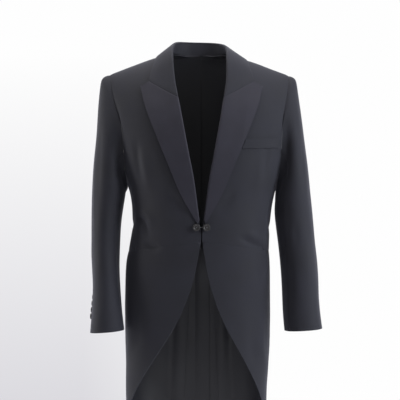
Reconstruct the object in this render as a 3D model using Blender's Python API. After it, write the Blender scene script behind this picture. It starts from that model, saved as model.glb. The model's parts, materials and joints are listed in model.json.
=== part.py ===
"""Morning coat of black worsted, as worn: peak lapels, one linked front button and cutaway tails.

Units are metres, +Z is up, the front faces -Y and the wearer's left side is +X. The origin is the
middle of the neck. Every panel is a wall on one worn form, which is a set of level sections.
A place on that form is a turn (0 at centre front, 90 at the side, 180 at centre back, in degrees)
and a level, which is the height measured at the shoulder point.
"""
from collections import namedtuple
import math

import bmesh
import bpy
from mathutils import Vector

# Cloth and seams
BODY_CLOTH = 0.0020
LAPEL_CLOTH = 0.0016
SLEEVE_CLOTH = 0.0018
SEAM_GAP = 0.0005
LAYER_GAP = 0.0004

# Heights of the main lines
SHOULDER_LEVEL = -0.035
ARMPIT_LEVEL = -0.285
FRONT_CORNER = -0.262
BACK_CORNER = -0.220
HEM = -0.990
BUTTON_HEIGHT = -0.398

# How square the sections are, and how the chest and back round over into the shoulder
SQUARENESS = 2.35
CHEST_ROUNDING = 1.75
BACK_ROUNDING = 2.1
SHOULDER_SEAM_BACK = 0.010
NECK_WIDTH = {"right": 0.0745, "left": 0.0655}

Section = namedtuple("Section", "level right_half left_half front_depth back_depth")
SECTIONS = [
    Section(-0.035, 0.246, 0.234, 0.127, 0.112),
    Section(-0.130, 0.224, 0.220, 0.127, 0.115),
    Section(-0.200, 0.207, 0.208, 0.127, 0.117),
    Section(-0.250, 0.195, 0.198, 0.127, 0.117),
    Section(-0.285, 0.184, 0.187, 0.126, 0.116),
    Section(-0.336, 0.168, 0.1725, 0.123, 0.110),
    Section(-0.395, 0.168, 0.166, 0.120, 0.100),
    Section(-0.440, 0.174, 0.164, 0.118, 0.094),
    Section(-0.500, 0.186, 0.1675, 0.115, 0.102),
    Section(-0.560, 0.185, 0.166, 0.110, 0.114),
    Section(-0.660, 0.184, 0.165, 0.104, 0.120),
    Section(-0.820, 0.183, 0.158, 0.096, 0.121),
    Section(-0.990, 0.182, 0.158, 0.092, 0.121),
]

Ridge = namedtuple("Ridge", "across right left")
SHOULDER_LINE = [
    Ridge(0.000, 0.046, 0.046),
    Ridge(0.060, 0.027, 0.024),
    Ridge(0.095, 0.0165, 0.009),
    Ridge(0.125, 0.0075, 0.001),
    Ridge(0.163, -0.007, -0.014),
    Ridge(0.207, -0.0235, -0.030),
    Ridge(0.240, -0.037, -0.044),
]

Armhole = namedtuple("Armhole", "level right_across left_across")
FRONT_ARMHOLE = [
    Armhole(-0.035, 0.222, 0.211),
    Armhole(-0.085, 0.214, 0.206),
    Armhole(-0.128, 0.201, 0.197),
    Armhole(-0.172, 0.190, 0.193),
    Armhole(-0.220, 0.187, 0.191),
    Armhole(-0.262, 0.184, 0.187),
]
BACK_ARMHOLE = [
    Armhole(-0.035, 0.222, 0.211),
    Armhole(-0.085, 0.213, 0.205),
    Armhole(-0.130, 0.205, 0.200),
    Armhole(-0.175, 0.199, 0.198),
    Armhole(-0.220, 0.193, 0.195),
]
ARMHOLE_FLOOR_DIP = 0.041

SeamPlace = namedtuple("SeamPlace", "level turn")
SIDE_SEAM_LOWER = [SeamPlace(-0.460, 61), SeamPlace(-0.360, 65)]
BACK_SEAM = [
    SeamPlace(-0.260, 118),
    SeamPlace(-0.310, 134),
    SeamPlace(-0.370, 151),
    SeamPlace(-0.410, 160),
    SeamPlace(-0.447, 166),
]
WaistPlace = namedtuple("WaistPlace", "turn level")
WAIST_SEAM = [
    WaistPlace(0, -0.433),
    WaistPlace(45, -0.449),
    WaistPlace(90, -0.457),
    WaistPlace(135, -0.452),
    WaistPlace(168, -0.447),
    WaistPlace(180, -0.446),
]
CUTAWAY_EDGE = [
    SeamPlace(-0.433, 0.2),
    SeamPlace(-0.467, 1.3),
    SeamPlace(-0.509, 3.1),
    SeamPlace(-0.547, 5.2),
    SeamPlace(-0.578, 8.7),
    SeamPlace(-0.614, 13.1),
    SeamPlace(-0.651, 20.2),
    SeamPlace(-0.687, 28.0),
    SeamPlace(-0.714, 35.1),
    SeamPlace(-0.748, 44.7),
    SeamPlace(-0.784, 56.0),
    SeamPlace(-0.811, 64.3),
    SeamPlace(-0.845, 77.0),
    SeamPlace(-0.880, 90.0),
    SeamPlace(-0.915, 101.0),
    SeamPlace(-0.950, 111.0),
    SeamPlace(-0.975, 119.0),
    SeamPlace(-0.990, 130.0),
]
TailWidth = namedtuple("TailWidth", "level across")
TAIL_EDGE = [
    TailWidth(-0.447, 0.050),
    TailWidth(-0.600, 0.056),
    TailWidth(-0.800, 0.066),
    TailWidth(-0.990, 0.076),
]
PLEAT_UNDERLAP = 0.024
VENT_UNDERLAP = 0.020
VENT_TOP_STEPS = [0.011, 0.012]
PLEAT_SINK = 0.0027
VENT_STEP = 0.003
VENT_BESIDE = 0.016
VENT_SPREAD = (0.2, 0.4, 0.6)
PLEAT_STEPS = [0.012, 0.003]

# Front view lines of the turned-back front: height and distance from the centre
FrontPlace = namedtuple("FrontPlace", "height across")
RollPlace = namedtuple("RollPlace", "height right left")
ROLL_LINE = [
    RollPlace(0.021, 0.0705, 0.0610),
    RollPlace(0.004, 0.0690, 0.0605),
    RollPlace(-0.043, 0.0635, 0.0590),
    RollPlace(-0.092, 0.0540, 0.0515),
    RollPlace(-0.134, 0.0460, 0.0447),
    RollPlace(-0.186, 0.0362, 0.0358),
    RollPlace(-0.237, 0.0266, 0.0266),
    RollPlace(-0.286, 0.0170, 0.0170),
    RollPlace(-0.344, 0.0096, 0.0096),
    RollPlace(-0.384, 0.0042, 0.0042),
    RollPlace(-0.402, 0.0010, 0.0010),
    RollPlace(-0.460, 0.0010, 0.0010),
]
LAPEL_EDGE = [
    FrontPlace(-0.065, 0.1445),
    FrontPlace(-0.096, 0.1380),
    FrontPlace(-0.118, 0.1310),
    FrontPlace(-0.193, 0.1015),
    FrontPlace(-0.255, 0.0760),
    FrontPlace(-0.304, 0.0560),
    FrontPlace(-0.336, 0.0410),
    FrontPlace(-0.368, 0.0220),
    FrontPlace(-0.390, 0.0100),
]
LAPEL_FOOT = -0.384
GORGE_HEIGHT = -0.092
NOTCH = FrontPlace(-0.053, 0.1245)
PEAK = FrontPlace(-0.065, 0.1445)

FoldSize = namedtuple("FoldSize", "height radius")
FOLD_RADIUS = [
    FoldSize(-0.384, 0.0021),
    FoldSize(-0.300, 0.0029),
    FoldSize(-0.200, 0.0036),
    FoldSize(0.000, 0.0038),
]
ROLL_SETTLES = 0.040
FACING_LIFT = 0.0032

# The collar from the gorge to centre back: its crease and its outer edge
Crease = namedtuple("Crease", "part right left depth right_height left_height")
COLLAR_CREASE = [
    Crease(0.00, 0.0540, 0.0515, -0.0960, -0.092, -0.092),
    Crease(0.16, 0.0635, 0.0590, -0.0710, -0.043, -0.043),
    Crease(0.33, 0.0690, 0.0605, -0.0460, 0.004, 0.003),
    Crease(0.46, 0.0700, 0.0605, -0.0220, 0.031, 0.0265),
    Crease(0.58, 0.0665, 0.0585, 0.0080, 0.0465, 0.0395),
    Crease(0.72, 0.0530, 0.0475, 0.0380, 0.0530, 0.0480),
    Crease(0.86, 0.0295, 0.0265, 0.0560, 0.0540, 0.0525),
    Crease(1.00, 0.0000, 0.0000, 0.0620, 0.0540, 0.0540),
]
CollarEdge = namedtuple("CollarEdge", "part across right left face")
COLLAR_EDGE = [
    CollarEdge(0.00, 0.1245, -0.0530, -0.0530, "front"),
    CollarEdge(0.16, 0.1190, -0.0280, -0.0295, "front"),
    CollarEdge(0.33, 0.1130, -0.0055, -0.0110, "front"),
    CollarEdge(0.46, 0.1080, 0.0122, 0.0053, "front"),
    CollarEdge(0.58, 0.1000, 0.0123, 0.0049, "back"),
    CollarEdge(0.72, 0.0780, 0.0095, 0.0060, "back"),
    CollarEdge(0.86, 0.0420, 0.0090, 0.0090, "back"),
    CollarEdge(1.00, 0.0000, 0.0100, 0.0100, "back"),
]
STAND_STARTS = 0.27
TURNED_UNTIL = 0.30
COLLAR_BULGE = 0.0020
STAND_FOOT_GAP = 0.0009

# Sleeves: front view edges and front and back depth by height, from the armpit to the cuff
SleeveRing = namedtuple("SleeveRing", "height outer inner front back")
SLEEVES = {
    "right": [
        SleeveRing(-0.310, 0.2645, 0.182, -0.076, 0.074),
        SleeveRing(-0.356, 0.265, 0.189, -0.075, 0.069),
        SleeveRing(-0.402, 0.2655, 0.195, -0.074, 0.063),
        SleeveRing(-0.460, 0.2645, 0.197, -0.077, 0.053),
        SleeveRing(-0.501, 0.262, 0.197, -0.081, 0.045),
        SleeveRing(-0.537, 0.2605, 0.195, -0.085, 0.037),
        SleeveRing(-0.595, 0.263, 0.190, -0.091, 0.024),
        SleeveRing(-0.647, 0.267, 0.183, -0.095, 0.012),
    ],
    "left": [
        SleeveRing(-0.310, 0.262, 0.1830, -0.076, 0.074),
        SleeveRing(-0.345, 0.266, 0.1750, -0.075, 0.070),
        SleeveRing(-0.378, 0.269, 0.1768, -0.074, 0.066),
        SleeveRing(-0.414, 0.272, 0.1818, -0.074, 0.061),
        SleeveRing(-0.479, 0.277, 0.1888, -0.079, 0.049),
        SleeveRing(-0.557, 0.281, 0.1932, -0.087, 0.032),
        SleeveRing(-0.605, 0.284, 0.1945, -0.092, 0.021),
        SleeveRing(-0.643, 0.2885, 0.1980, -0.095, 0.012),
    ],
}
CUFF_TILT = {"right": 0.0035, "left": -0.0030}
SLEEVE_SQUARENESS = 2.2
SLEEVE_HEAD_STEPS = [0.0, 0.04, 0.09, 0.15, 0.27, 0.43, 0.62, 0.82, 1.0]
SLEEVE_ARM_STEPS = 9
HEAD_THRUST = 0.105
# How much further out the outer line of the sleeve lies than the plain curve, by height
HeadLine = namedtuple("HeadLine", "height right left")
HEAD_LINE = [
    HeadLine(-0.030, 0.0060, 0.0050),
    HeadLine(-0.044, 0.0078, 0.0055),
    HeadLine(-0.058, 0.0030, 0.0008),
    HeadLine(-0.073, 0.0010, -0.0020),
    HeadLine(-0.100, -0.0015, -0.0048),
    HeadLine(-0.130, -0.0035, -0.0065),
    HeadLine(-0.174, -0.0066, -0.0073),
    HeadLine(-0.208, -0.0063, -0.0062),
    HeadLine(-0.242, -0.0035, -0.0040),
    HeadLine(-0.276, 0.0000, -0.0005),
    HeadLine(-0.310, 0.0000, 0.0000),
]
# Angles of the two sleeve seams: from the outer side, towards the back above 0 and in front below
FORE_SEAM_AT_ARMHOLE = -128
HIND_SEAM_AT_ARMHOLE = 98 - 360
HIND_SEAM_AT_CUFF = {"right": 26, "left": 62}
FORE_SEAM_AT_CUFF = {"right": -160, "left": -140}

# Buttons
FRONT_BUTTON = 0.0170
CUFF_BUTTON = 0.0145
BACK_BUTTON = 0.0190
BACK_BUTTON_LIFT = 0.0040
BACK_BUTTON_SEAT = 0.0018
FRONT_BUTTON_ACROSS = 0.0118
FRONT_BUTTON_LIFT = 0.0032
LINK_LIFT = 0.0016
LINK_RADIUS = 0.0009
SHANK_SHARE = 0.22
CUFF_BUTTON_HEIGHTS = [-0.569, -0.584, -0.599, -0.614]
CUFF_BUTTON_LIFT = 0.0024
CUFF_BUTTON_SEAT = 0.0007

# Mesh steps
LOWER_LEVELS = [-0.402, -0.386, -0.345, -0.303]
ARM_STEPS = 8
FOREPART_COLUMNS = 7
SIDEBODY_COLUMNS = 7
BACK_COLUMNS = 6
NECK_COLUMNS = 2
LAPEL_ROWS = 14
GORGE_COLUMNS = 6
PEAK_COLUMNS = 2
COLLAR_ROWS = 13
SKIRT_STEPS = [0.0, 0.04, 0.10, 0.17, 0.25, 0.33, 0.41, 0.48, 0.54, 0.60, 0.66, 0.72, 0.78, 0.84,
               0.89, 0.94, 0.975, 1.0]

# Colours: linear red, green and blue
WORSTED = (0.030, 0.030, 0.036)
FACING = (0.038, 0.037, 0.046)
HORN = (0.012, 0.012, 0.014)


def through(knots, values):
    """Return a smooth curve through the values at the knots, level beyond both ends."""
    pairs = sorted(zip(knots, values))
    places = [pair[0] for pair in pairs]
    heights = [pair[1] for pair in pairs]
    rises = []
    for low in range(len(pairs) - 1):
        rises.append((heights[low + 1] - heights[low]) / (places[low + 1] - places[low]))
    slopes = [rises[0]]
    for before, after in zip(rises, rises[1:]):
        same_way = before * after > 0
        slopes.append(2 * before * after / (before + after) if same_way else 0.0)
    slopes.append(rises[-1])

    def value(at):
        if at <= places[0]:
            return heights[0]
        if at >= places[-1]:
            return heights[-1]
        low = 0
        while places[low + 1] < at:
            low += 1
        span = places[low + 1] - places[low]
        t = (at - places[low]) / span
        start = (2 * t ** 3 - 3 * t ** 2 + 1) * heights[low] + (t ** 3 - 2 * t ** 2 + t) * span * slopes[low]
        end = (3 * t ** 2 - 2 * t ** 3) * heights[low + 1] + (t ** 3 - t ** 2) * span * slopes[low + 1]
        return start + end

    return value


def column(table, knot, name):
    """Return the smooth curve of one named column of a table against another."""
    return through([getattr(row, knot) for row in table], [getattr(row, name) for row in table])


HALF_WIDTH = {side: column(SECTIONS, "level", side + "_half") for side in ("right", "left")}
FRONT_DEPTH = column(SECTIONS, "level", "front_depth")
BACK_DEPTH = column(SECTIONS, "level", "back_depth")
SHOULDER_HEIGHT = {side: column(SHOULDER_LINE, "across", side) for side in ("right", "left")}
WAIST_LEVEL = column(WAIST_SEAM, "turn", "level")
CUTAWAY_TURN = column(CUTAWAY_EDGE, "level", "turn")
TAIL_ACROSS = column(TAIL_EDGE, "level", "across")
ROLL_ACROSS = {side: column(ROLL_LINE, "height", side) for side in ("right", "left")}
LAPEL_ACROSS = column(LAPEL_EDGE, "height", "across")
RADIUS = column(FOLD_RADIUS, "height", "radius")
SIGN = {"right": -1, "left": 1}


def mix(low, high, part):
    """Return the value or point that lies the given part of the way from low to high."""
    return low + (high - low) * part


def smooth_step(part):
    """Return 0 to 1 with a level start and end."""
    part = min(max(part, 0.0), 1.0)
    return part * part * (3 - 2 * part)


def height_of(side, level, across):
    """Return the real height of a level at a distance from the centre."""
    if level <= ARMPIT_LEVEL:
        return level
    share = (level - ARMPIT_LEVEL) / (SHOULDER_LEVEL - ARMPIT_LEVEL)
    return ARMPIT_LEVEL + share * (SHOULDER_HEIGHT[side](across) - ARMPIT_LEVEL)


def level_of(side, height, across):
    """Return the level that has the given real height at a distance from the centre."""
    if height <= ARMPIT_LEVEL:
        return height
    share = (height - ARMPIT_LEVEL) / (SHOULDER_HEIGHT[side](across) - ARMPIT_LEVEL)
    return ARMPIT_LEVEL + min(share, 1.0) * (SHOULDER_LEVEL - ARMPIT_LEVEL)


def turn_of(side, across, level, face="front"):
    """Return the turn at which the form is the given distance from the centre."""
    share = min(across / HALF_WIDTH[side](level), 1.0) ** (SQUARENESS / 2)
    turn = math.degrees(math.asin(share))
    return turn if face == "front" else 180 - turn


def bare(side, turn, level):
    """Return the point of the worn form at a turn and a level."""
    sine = math.sin(math.radians(turn))
    cosine = math.cos(math.radians(turn))
    across = HALF_WIDTH[side](level) * math.copysign(abs(sine) ** (2 / SQUARENESS), sine)
    share = max(0.0, (level - ARMPIT_LEVEL) / (SHOULDER_LEVEL - ARMPIT_LEVEL))
    share = min(share, 1.0)
    rounding = CHEST_ROUNDING if cosine > 0 else BACK_ROUNDING
    depth = -FRONT_DEPTH(level) if cosine > 0 else BACK_DEPTH(level)
    fullness = (1 - share ** rounding) ** (1 / rounding)
    y = depth * abs(cosine) ** (2 / SQUARENESS) * fullness + SHOULDER_SEAM_BACK * share ** 2
    return Vector((SIGN[side] * across, y, height_of(side, level, abs(across))))


def form(side, turn, level, lift=0.0):
    """Return a point of the form, raised by lift, and its outward direction."""
    round_step = bare(side, turn + 0.6, level) - bare(side, turn - 0.6, level)
    rise_step = bare(side, turn, min(level + 0.0008, SHOULDER_LEVEL)) - bare(side, turn, level - 0.0008)
    outward = round_step.cross(rise_step).normalized() * SIGN[side]
    if level > SHOULDER_LEVEL - 0.00001:
        outward = Vector((outward.x, 0, outward.z)).normalized()
    return bare(side, turn, level) + outward * lift, outward


def seen(side, across, height, face, lift=0.0):
    """Return a point of the form by its place in the front or back view."""
    level = level_of(side, height, across)
    return form(side, turn_of(side, across, level, face), level, lift)


def material(name, colour, roughness):
    """Return a plain material of one colour."""
    made = bpy.data.materials.new(name)
    made.use_nodes = True
    shader = made.node_tree.nodes["Principled BSDF"]
    shader.inputs["Base Color"].default_value = (*colour, 1)
    shader.inputs["Roughness"].default_value = roughness
    shader.inputs["Metallic"].default_value = 0.0
    return made


def add_object(name, mesh_data, colour, roughness):
    """Put a bmesh into the scene as a named object with its own material."""
    bmesh.ops.recalc_face_normals(mesh_data, faces=mesh_data.faces)
    mesh = bpy.data.meshes.new(name)
    mesh_data.to_mesh(mesh)
    mesh_data.free()
    mesh.shade_smooth()
    mesh.set_sharp_from_angle(angle=math.radians(40))
    mesh.materials.append(material(name + "_finish", colour, roughness))
    made = bpy.data.objects.new(name, mesh)
    bpy.context.scene.collection.objects.link(made)
    return made


def drawn_in(rows):
    """Move each edge of a grid of (outer, inner) pairs back by half a seam gap."""
    last_row = len(rows) - 1
    last_column = len(rows[0]) - 1
    result = []
    for row_index, row in enumerate(rows):
        new_row = []
        for column_index, (outer, inner) in enumerate(row):
            shift = Vector((0, 0, 0))
            if row_index in (0, last_row):
                near = rows[1] if row_index == 0 else rows[last_row - 1]
                shift += (near[column_index][0] - outer).normalized()
            if column_index in (0, last_column):
                near = row[1] if column_index == 0 else row[last_column - 1]
                shift += (near[0] - outer).normalized()
            shift *= SEAM_GAP / 2
            new_row.append((outer + shift, inner + shift))
        result.append(new_row)
    return result


def panel(name, rows, colour=WORSTED, roughness=0.85):
    """Make a closed wall from rows of (outer, inner) pairs of points."""
    made = bmesh.new()
    outer = [[made.verts.new(pair[0]) for pair in row] for row in rows]
    inner = [[made.verts.new(pair[1]) for pair in row] for row in rows]
    for r in range(len(rows) - 1):
        for c in range(len(rows[0]) - 1):
            made.faces.new((outer[r][c], outer[r][c + 1], outer[r + 1][c + 1], outer[r + 1][c]))
            made.faces.new((inner[r][c], inner[r + 1][c], inner[r + 1][c + 1], inner[r][c + 1]))
    rim = [(r, 0) for r in range(len(rows))]
    rim += [(len(rows) - 1, c) for c in range(1, len(rows[0]))]
    rim += [(r, len(rows[0]) - 1) for r in range(len(rows) - 2, -1, -1)]
    rim += [(0, c) for c in range(len(rows[0]) - 2, 0, -1)]
    for (r, c), (next_r, next_c) in zip(rim, rim[1:] + rim[:1]):
        made.faces.new((outer[r][c], outer[next_r][next_c], inner[next_r][next_c], inner[r][c]))
    return add_object(name, made, colour, roughness)


def wall(side, turn, level, lift=0.0, thickness=BODY_CLOTH):
    """Return the outer and inner points of the cloth at a place on the form."""
    point, outward = form(side, turn, level, lift)
    return point, point - outward * thickness


# Seam lines that neighbouring pieces share
def front_armhole(side):
    """Return (turn, level) places up the front of the armhole, corner to shoulder point."""
    across = column(FRONT_ARMHOLE, "level", side + "_across")
    places = []
    for step in range(ARM_STEPS + 1):
        level = mix(FRONT_CORNER, SHOULDER_LEVEL, math.sin(math.radians(90 * step / ARM_STEPS)))
        places.append((turn_of(side, across(level), level), level))
    return places


def back_armhole(side):
    """Return (turn, level) places up the back of the armhole, corner to shoulder point."""
    across = column(BACK_ARMHOLE, "level", side + "_across")
    places = []
    for step in range(ARM_STEPS + 1):
        level = mix(BACK_CORNER, SHOULDER_LEVEL, math.sin(math.radians(90 * step / ARM_STEPS)))
        places.append((turn_of(side, across(level), level, "back"), level))
    return places


def side_seam(side):
    """Return (turn, level) places up the seam of forepart and sidebody, waist to armhole."""
    corner_turn = front_armhole(side)[0][0]
    knots = [place.level for place in SIDE_SEAM_LOWER] + [FRONT_CORNER]
    turn_at = through(knots, [place.turn for place in SIDE_SEAM_LOWER] + [corner_turn])
    waist_turn = SIDE_SEAM_LOWER[0].turn
    places = [(waist_turn, WAIST_LEVEL(waist_turn))]
    places += [(turn_at(level), level) for level in LOWER_LEVELS]
    places.append((corner_turn, FRONT_CORNER))
    return places


def back_seam(side):
    """Return (turn, level) places up the seam of sidebody and back, waist to armhole."""
    corner_turn = back_armhole(side)[0][0]
    knots = [place.level for place in BACK_SEAM] + [BACK_CORNER]
    turn_at = through(knots, [place.turn for place in BACK_SEAM] + [corner_turn])
    steps = len(LOWER_LEVELS) + 1
    waist_turn = turn_of(side, TAIL_EDGE[0].across, TAIL_EDGE[0].level, "back")
    waist_level = WAIST_LEVEL(waist_turn)
    places = [(waist_turn, waist_level)]
    for step in range(1, steps + 1):
        level = mix(waist_level, BACK_CORNER, step / steps)
        places.append((mix(waist_turn, turn_at(level), min(1.0, 3 * step / steps)), level))
    return places


def sidebody_places(side):
    """Return rows of (turn, level) places of the sidebody, waist to armhole."""
    front, back = side_seam(side), back_seam(side)
    rows = []
    for step, (front_place, back_place) in enumerate(zip(front, back)):
        share = step / (len(front) - 1)
        row = []
        for index in range(SIDEBODY_COLUMNS + 1):
            part = index / SIDEBODY_COLUMNS
            turn = mix(front_place[0], back_place[0], part)
            level = mix(front_place[1], back_place[1], part)
            if step == 0:
                level = WAIST_LEVEL(turn)
            dip = ARMHOLE_FLOOR_DIP * 4 * part * (1 - part) * share ** 2
            row.append((turn, level - dip))
        rows.append(row)
    return rows


def front_edge_across(side, height):
    """Return the distance from the centre of the forepart's own edge, inside its fold."""
    tuck = RADIUS(height) + SEAM_GAP if height > LAPEL_FOOT - 0.003 else 0.0
    return ROLL_ACROSS[side](height) + tuck


def forepart_places(side):
    """Return rows of (turn, level) places of the forepart, waist to shoulder seam."""
    seam, arm = side_seam(side), front_armhole(side)
    rows = []
    for step, (outer_turn, level) in enumerate(seam + arm[1:]):
        inner_level = WAIST_LEVEL(0) if step == 0 else level
        across = front_edge_across(side, inner_level)
        for _ in range(4):
            across = front_edge_across(side, height_of(side, inner_level, across))
        if step == len(seam) + len(arm) - 2:
            across = NECK_WIDTH[side]
        inner_turn = turn_of(side, across, inner_level)
        row = []
        for index in range(FOREPART_COLUMNS + 1):
            turn = mix(inner_turn, outer_turn, index / FOREPART_COLUMNS)
            row.append((turn, WAIST_LEVEL(turn) if step == 0 else level))
        rows.append(row)
    return rows


def nape_level(side, across):
    """Return the level of the back neckline at a distance from the centre."""
    drop = 0.076 * max(0.0, 1 - (across / NECK_WIDTH[side]) ** 2) ** 1.33
    return mix(SHOULDER_LEVEL, ARMPIT_LEVEL, drop)


def back_places(side):
    """Return rows of (turn, level) places of the upper back, waist to shoulder seam."""
    seam, arm = back_seam(side), back_armhole(side)
    shoulder = column(BACK_ARMHOLE, "level", side + "_across")(SHOULDER_LEVEL)
    neck = NECK_WIDTH[side]
    top_across = [neck * index / NECK_COLUMNS for index in range(NECK_COLUMNS)]
    spread = BACK_COLUMNS - NECK_COLUMNS
    top_across += [mix(neck, shoulder, index / spread) for index in range(spread + 1)]
    rows = []
    for step, (outer_turn, outer_level) in enumerate(seam + arm[1:]):
        outer_across = abs(bare(side, outer_turn, outer_level).x)
        climb = max(0.0, (step - len(seam) + 1) / ARM_STEPS)
        row = []
        for index, top in enumerate(top_across):
            share = mix(index / BACK_COLUMNS, top / shoulder, climb)
            if index == BACK_COLUMNS:
                row.append((outer_turn, outer_level))
                continue
            rise = (outer_level - BACK_CORNER) / (SHOULDER_LEVEL - BACK_CORNER)
            ceiling = nape_level(side, top) if top < neck else SHOULDER_LEVEL
            level = mix(BACK_CORNER, ceiling, rise) if rise > 0 else outer_level
            row.append((turn_of(side, outer_across * share, level, "back"), level))
        rows.append(row)
    return rows


def fold(crease, fall_way, stand_way, radius, thickness):
    """Return the rounded edge of a turned-back fold as (outer, inner) pairs, and its two ends.

    The fold runs from the stand side round the crease to the fall side.
    """
    middle_way = (fall_way + stand_way).normalized()
    middle = crease + middle_way * radius
    overlap = fall_way.dot(stand_way)
    fall_out = (fall_way * overlap - stand_way).normalized()
    stand_out = (stand_way * overlap - fall_way).normalized()
    return fold_arc(middle, stand_out, -middle_way, fall_out, radius, thickness)


def fold_arc(middle, first, crown, last, radius, thickness):
    """Return (outer, inner) pairs round an arc that passes through three directions."""
    ways = [first, (first + crown).normalized(), crown, (crown + last).normalized(), last]
    return [(middle + way * radius, middle + way * (radius - thickness)) for way in ways]


def turned_row(side, crease, edge_points):
    """Return a row of the turned-back front: the fold, then the facing laid over the forepart.

    The crease and the edge points are places in the front view.
    """
    radius = RADIUS(crease.height)
    lift = radius - BODY_CLOTH
    crease_point, outward = seen(side, crease.across, crease.height, "front", lift)
    beyond, _ = seen(side, crease.across + 0.004, crease.height, "front", lift)
    way = (beyond - crease_point).normalized()
    outward = (outward - way * outward.dot(way)).normalized()
    middle = crease_point + way * radius
    row = fold_arc(middle, -outward, -way, outward, radius, LAPEL_CLOTH)
    start_lift = 2 * radius - BODY_CLOTH
    for place in edge_points:
        distance = math.hypot(place.across - crease.across - radius, place.height - crease.height)
        settle = smooth_step(distance / ROLL_SETTLES)
        lift = mix(start_lift, FACING_LIFT, settle)
        point, out = seen(side, place.across, place.height, "front", lift)
        row.append((point, point - out * LAPEL_CLOTH))
    return row


def spaced(start, end, count):
    """Return evenly spaced front view places after start, up to and with end."""
    places = []
    for index in range(1, count + 1):
        part = index / count
        places.append(FrontPlace(mix(start.height, end.height, part), mix(start.across, end.across, part)))
    return places


def gorge_places(side):
    """Return the crease and the places out along the gorge seam to the notch."""
    crease = FrontPlace(GORGE_HEIGHT, ROLL_ACROSS[side](GORGE_HEIGHT))
    start = FrontPlace(GORGE_HEIGHT, crease.across + RADIUS(GORGE_HEIGHT))
    return crease, spaced(start, NOTCH, GORGE_COLUMNS)


def make_lapel(side):
    """Make the lapel: from its foot at the button to the gorge seam and the top of the peak."""
    rows = []
    columns = GORGE_COLUMNS + PEAK_COLUMNS
    for step in range(LAPEL_ROWS):
        part = step / LAPEL_ROWS
        crease_height = mix(LAPEL_FOOT, GORGE_HEIGHT, part)
        crease = FrontPlace(crease_height, ROLL_ACROSS[side](crease_height))
        edge_height = mix(LAPEL_EDGE[-1].height, PEAK.height, part)
        edge = FrontPlace(edge_height, LAPEL_ACROSS(edge_height))
        start = FrontPlace(crease_height, crease.across + RADIUS(crease_height))
        rows.append(turned_row(side, crease, spaced(start, edge, columns)))
    crease, gorge = gorge_places(side)
    rows.append(turned_row(side, crease, gorge + spaced(NOTCH, PEAK, PEAK_COLUMNS)))
    panel("lapel_" + side, drawn_in(rows), FACING, 0.7)


def collar_rows(side):
    """Return the fall rows, the stand rows and their parts, from the gorge to centre back."""
    crease_x = column(COLLAR_CREASE, "part", side)
    crease_y = column(COLLAR_CREASE, "part", "depth")
    crease_z = column(COLLAR_CREASE, "part", side + "_height")
    edges = [seen(side, row.across, getattr(row, side), row.face, FACING_LIFT) for row in COLLAR_EDGE]
    edge_points = [point for point, _ in edges]
    edge_outs = [out for _, out in edges]
    parts = [row.part for row in COLLAR_EDGE]
    edge_at = [through(parts, [point[axis] for point in edge_points]) for axis in range(3)]
    out_at = [through(parts, [out[axis] for out in edge_outs]) for axis in range(3)]
    neck_points = neckline(side)
    neck_parts = [part for part, _ in neck_points]
    neck_at = [through(neck_parts, [point[axis] for _, point in neck_points]) for axis in range(3)]
    fall_rows, stand_rows = [], []
    for step in range(COLLAR_ROWS + 1):
        part = step / COLLAR_ROWS
        crease = Vector((SIGN[side] * crease_x(part), crease_y(part), crease_z(part)))
        edge = Vector([axis(part) for axis in edge_at])
        edge_out = Vector([axis(part) for axis in out_at]).normalized()
        neck = Vector([axis(part) for axis in neck_at])
        radius = RADIUS(crease.z)
        arc = fold(crease, (edge - crease).normalized(), (neck - crease).normalized(), radius, LAPEL_CLOTH)
        last = arc[-1]
        last_out = (last[0] - last[1]).normalized()
        standing = list(arc)
        for index in range(1, GORGE_COLUMNS + 1):
            share = index / GORGE_COLUMNS
            out = last_out.lerp(edge_out, share).normalized()
            point = last[0].lerp(edge, share) + out * COLLAR_BULGE * math.sin(math.pi * share)
            standing.append((point, point - out * LAPEL_CLOTH))
        turned_share = 1 - smooth_step(part / TURNED_UNTIL)
        if turned_share > 0:
            place = FrontPlace(crease.z, abs(crease.x))
            if step == 0:
                place, line = gorge_places(side)
            else:
                start = FrontPlace(place.height, place.across + radius)
                line = spaced(start, FrontPlace(edge.z, abs(edge.x)), GORGE_COLUMNS)
            turned = turned_row(side, place, line)
            blended = []
            for high, low in zip(standing, turned):
                blended.append((high[0].lerp(low[0], turned_share), high[1].lerp(low[1], turned_share)))
            standing = blended
        fall_rows.append(standing)
        if part > STAND_STARTS:
            first = standing[0]
            inward = (first[0] - first[1]).normalized()
            down = (neck - first[1]).normalized()
            top = first[1] + down * SEAM_GAP
            foot = neck - down * STAND_FOOT_GAP
            row = []
            for share in (0.0, 0.5, 1.0):
                point = top.lerp(foot, share)
                row.append((point, point + inward * LAPEL_CLOTH))
            stand_rows.append(row)
    return fall_rows, stand_rows


def neckline(side):
    """Return (collar part, point) pairs along the edge that the collar is sewn to."""
    pairs = []
    for row in COLLAR_CREASE[:4]:
        height = min(getattr(row, side + "_height"), 0.012)
        pairs.append((row.part, seen(side, front_edge_across(side, height), height, "front")[0]))
    back = [(0.58, 1.0), (0.72, 0.72), (0.86, 0.36), (1.0, 0.0)]
    for part, share in back:
        across = NECK_WIDTH[side] * share
        level = nape_level(side, across)
        pairs.append((part, form(side, turn_of(side, across, level, "back"), level)[0]))
    return pairs


def make_collar():
    """Make the collar's fall and its stand, each in one piece round the neck."""
    left_fall, left_stand = collar_rows("left")
    right_fall, right_stand = collar_rows("right")
    fall = left_fall + right_fall[-2::-1]
    stand = left_stand + right_stand[-2::-1]
    panel("collar_fall", drawn_in(fall))
    panel("collar_stand", drawn_in(stand))


def make_body(side):
    """Make the forepart and the sidebody of one side."""
    for name, places in (("forepart_", forepart_places(side)), ("sidebody_", sidebody_places(side))):
        rows = [[wall(side, turn, level) for turn, level in row] for row in places]
        panel(name + side, drawn_in(rows))


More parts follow.
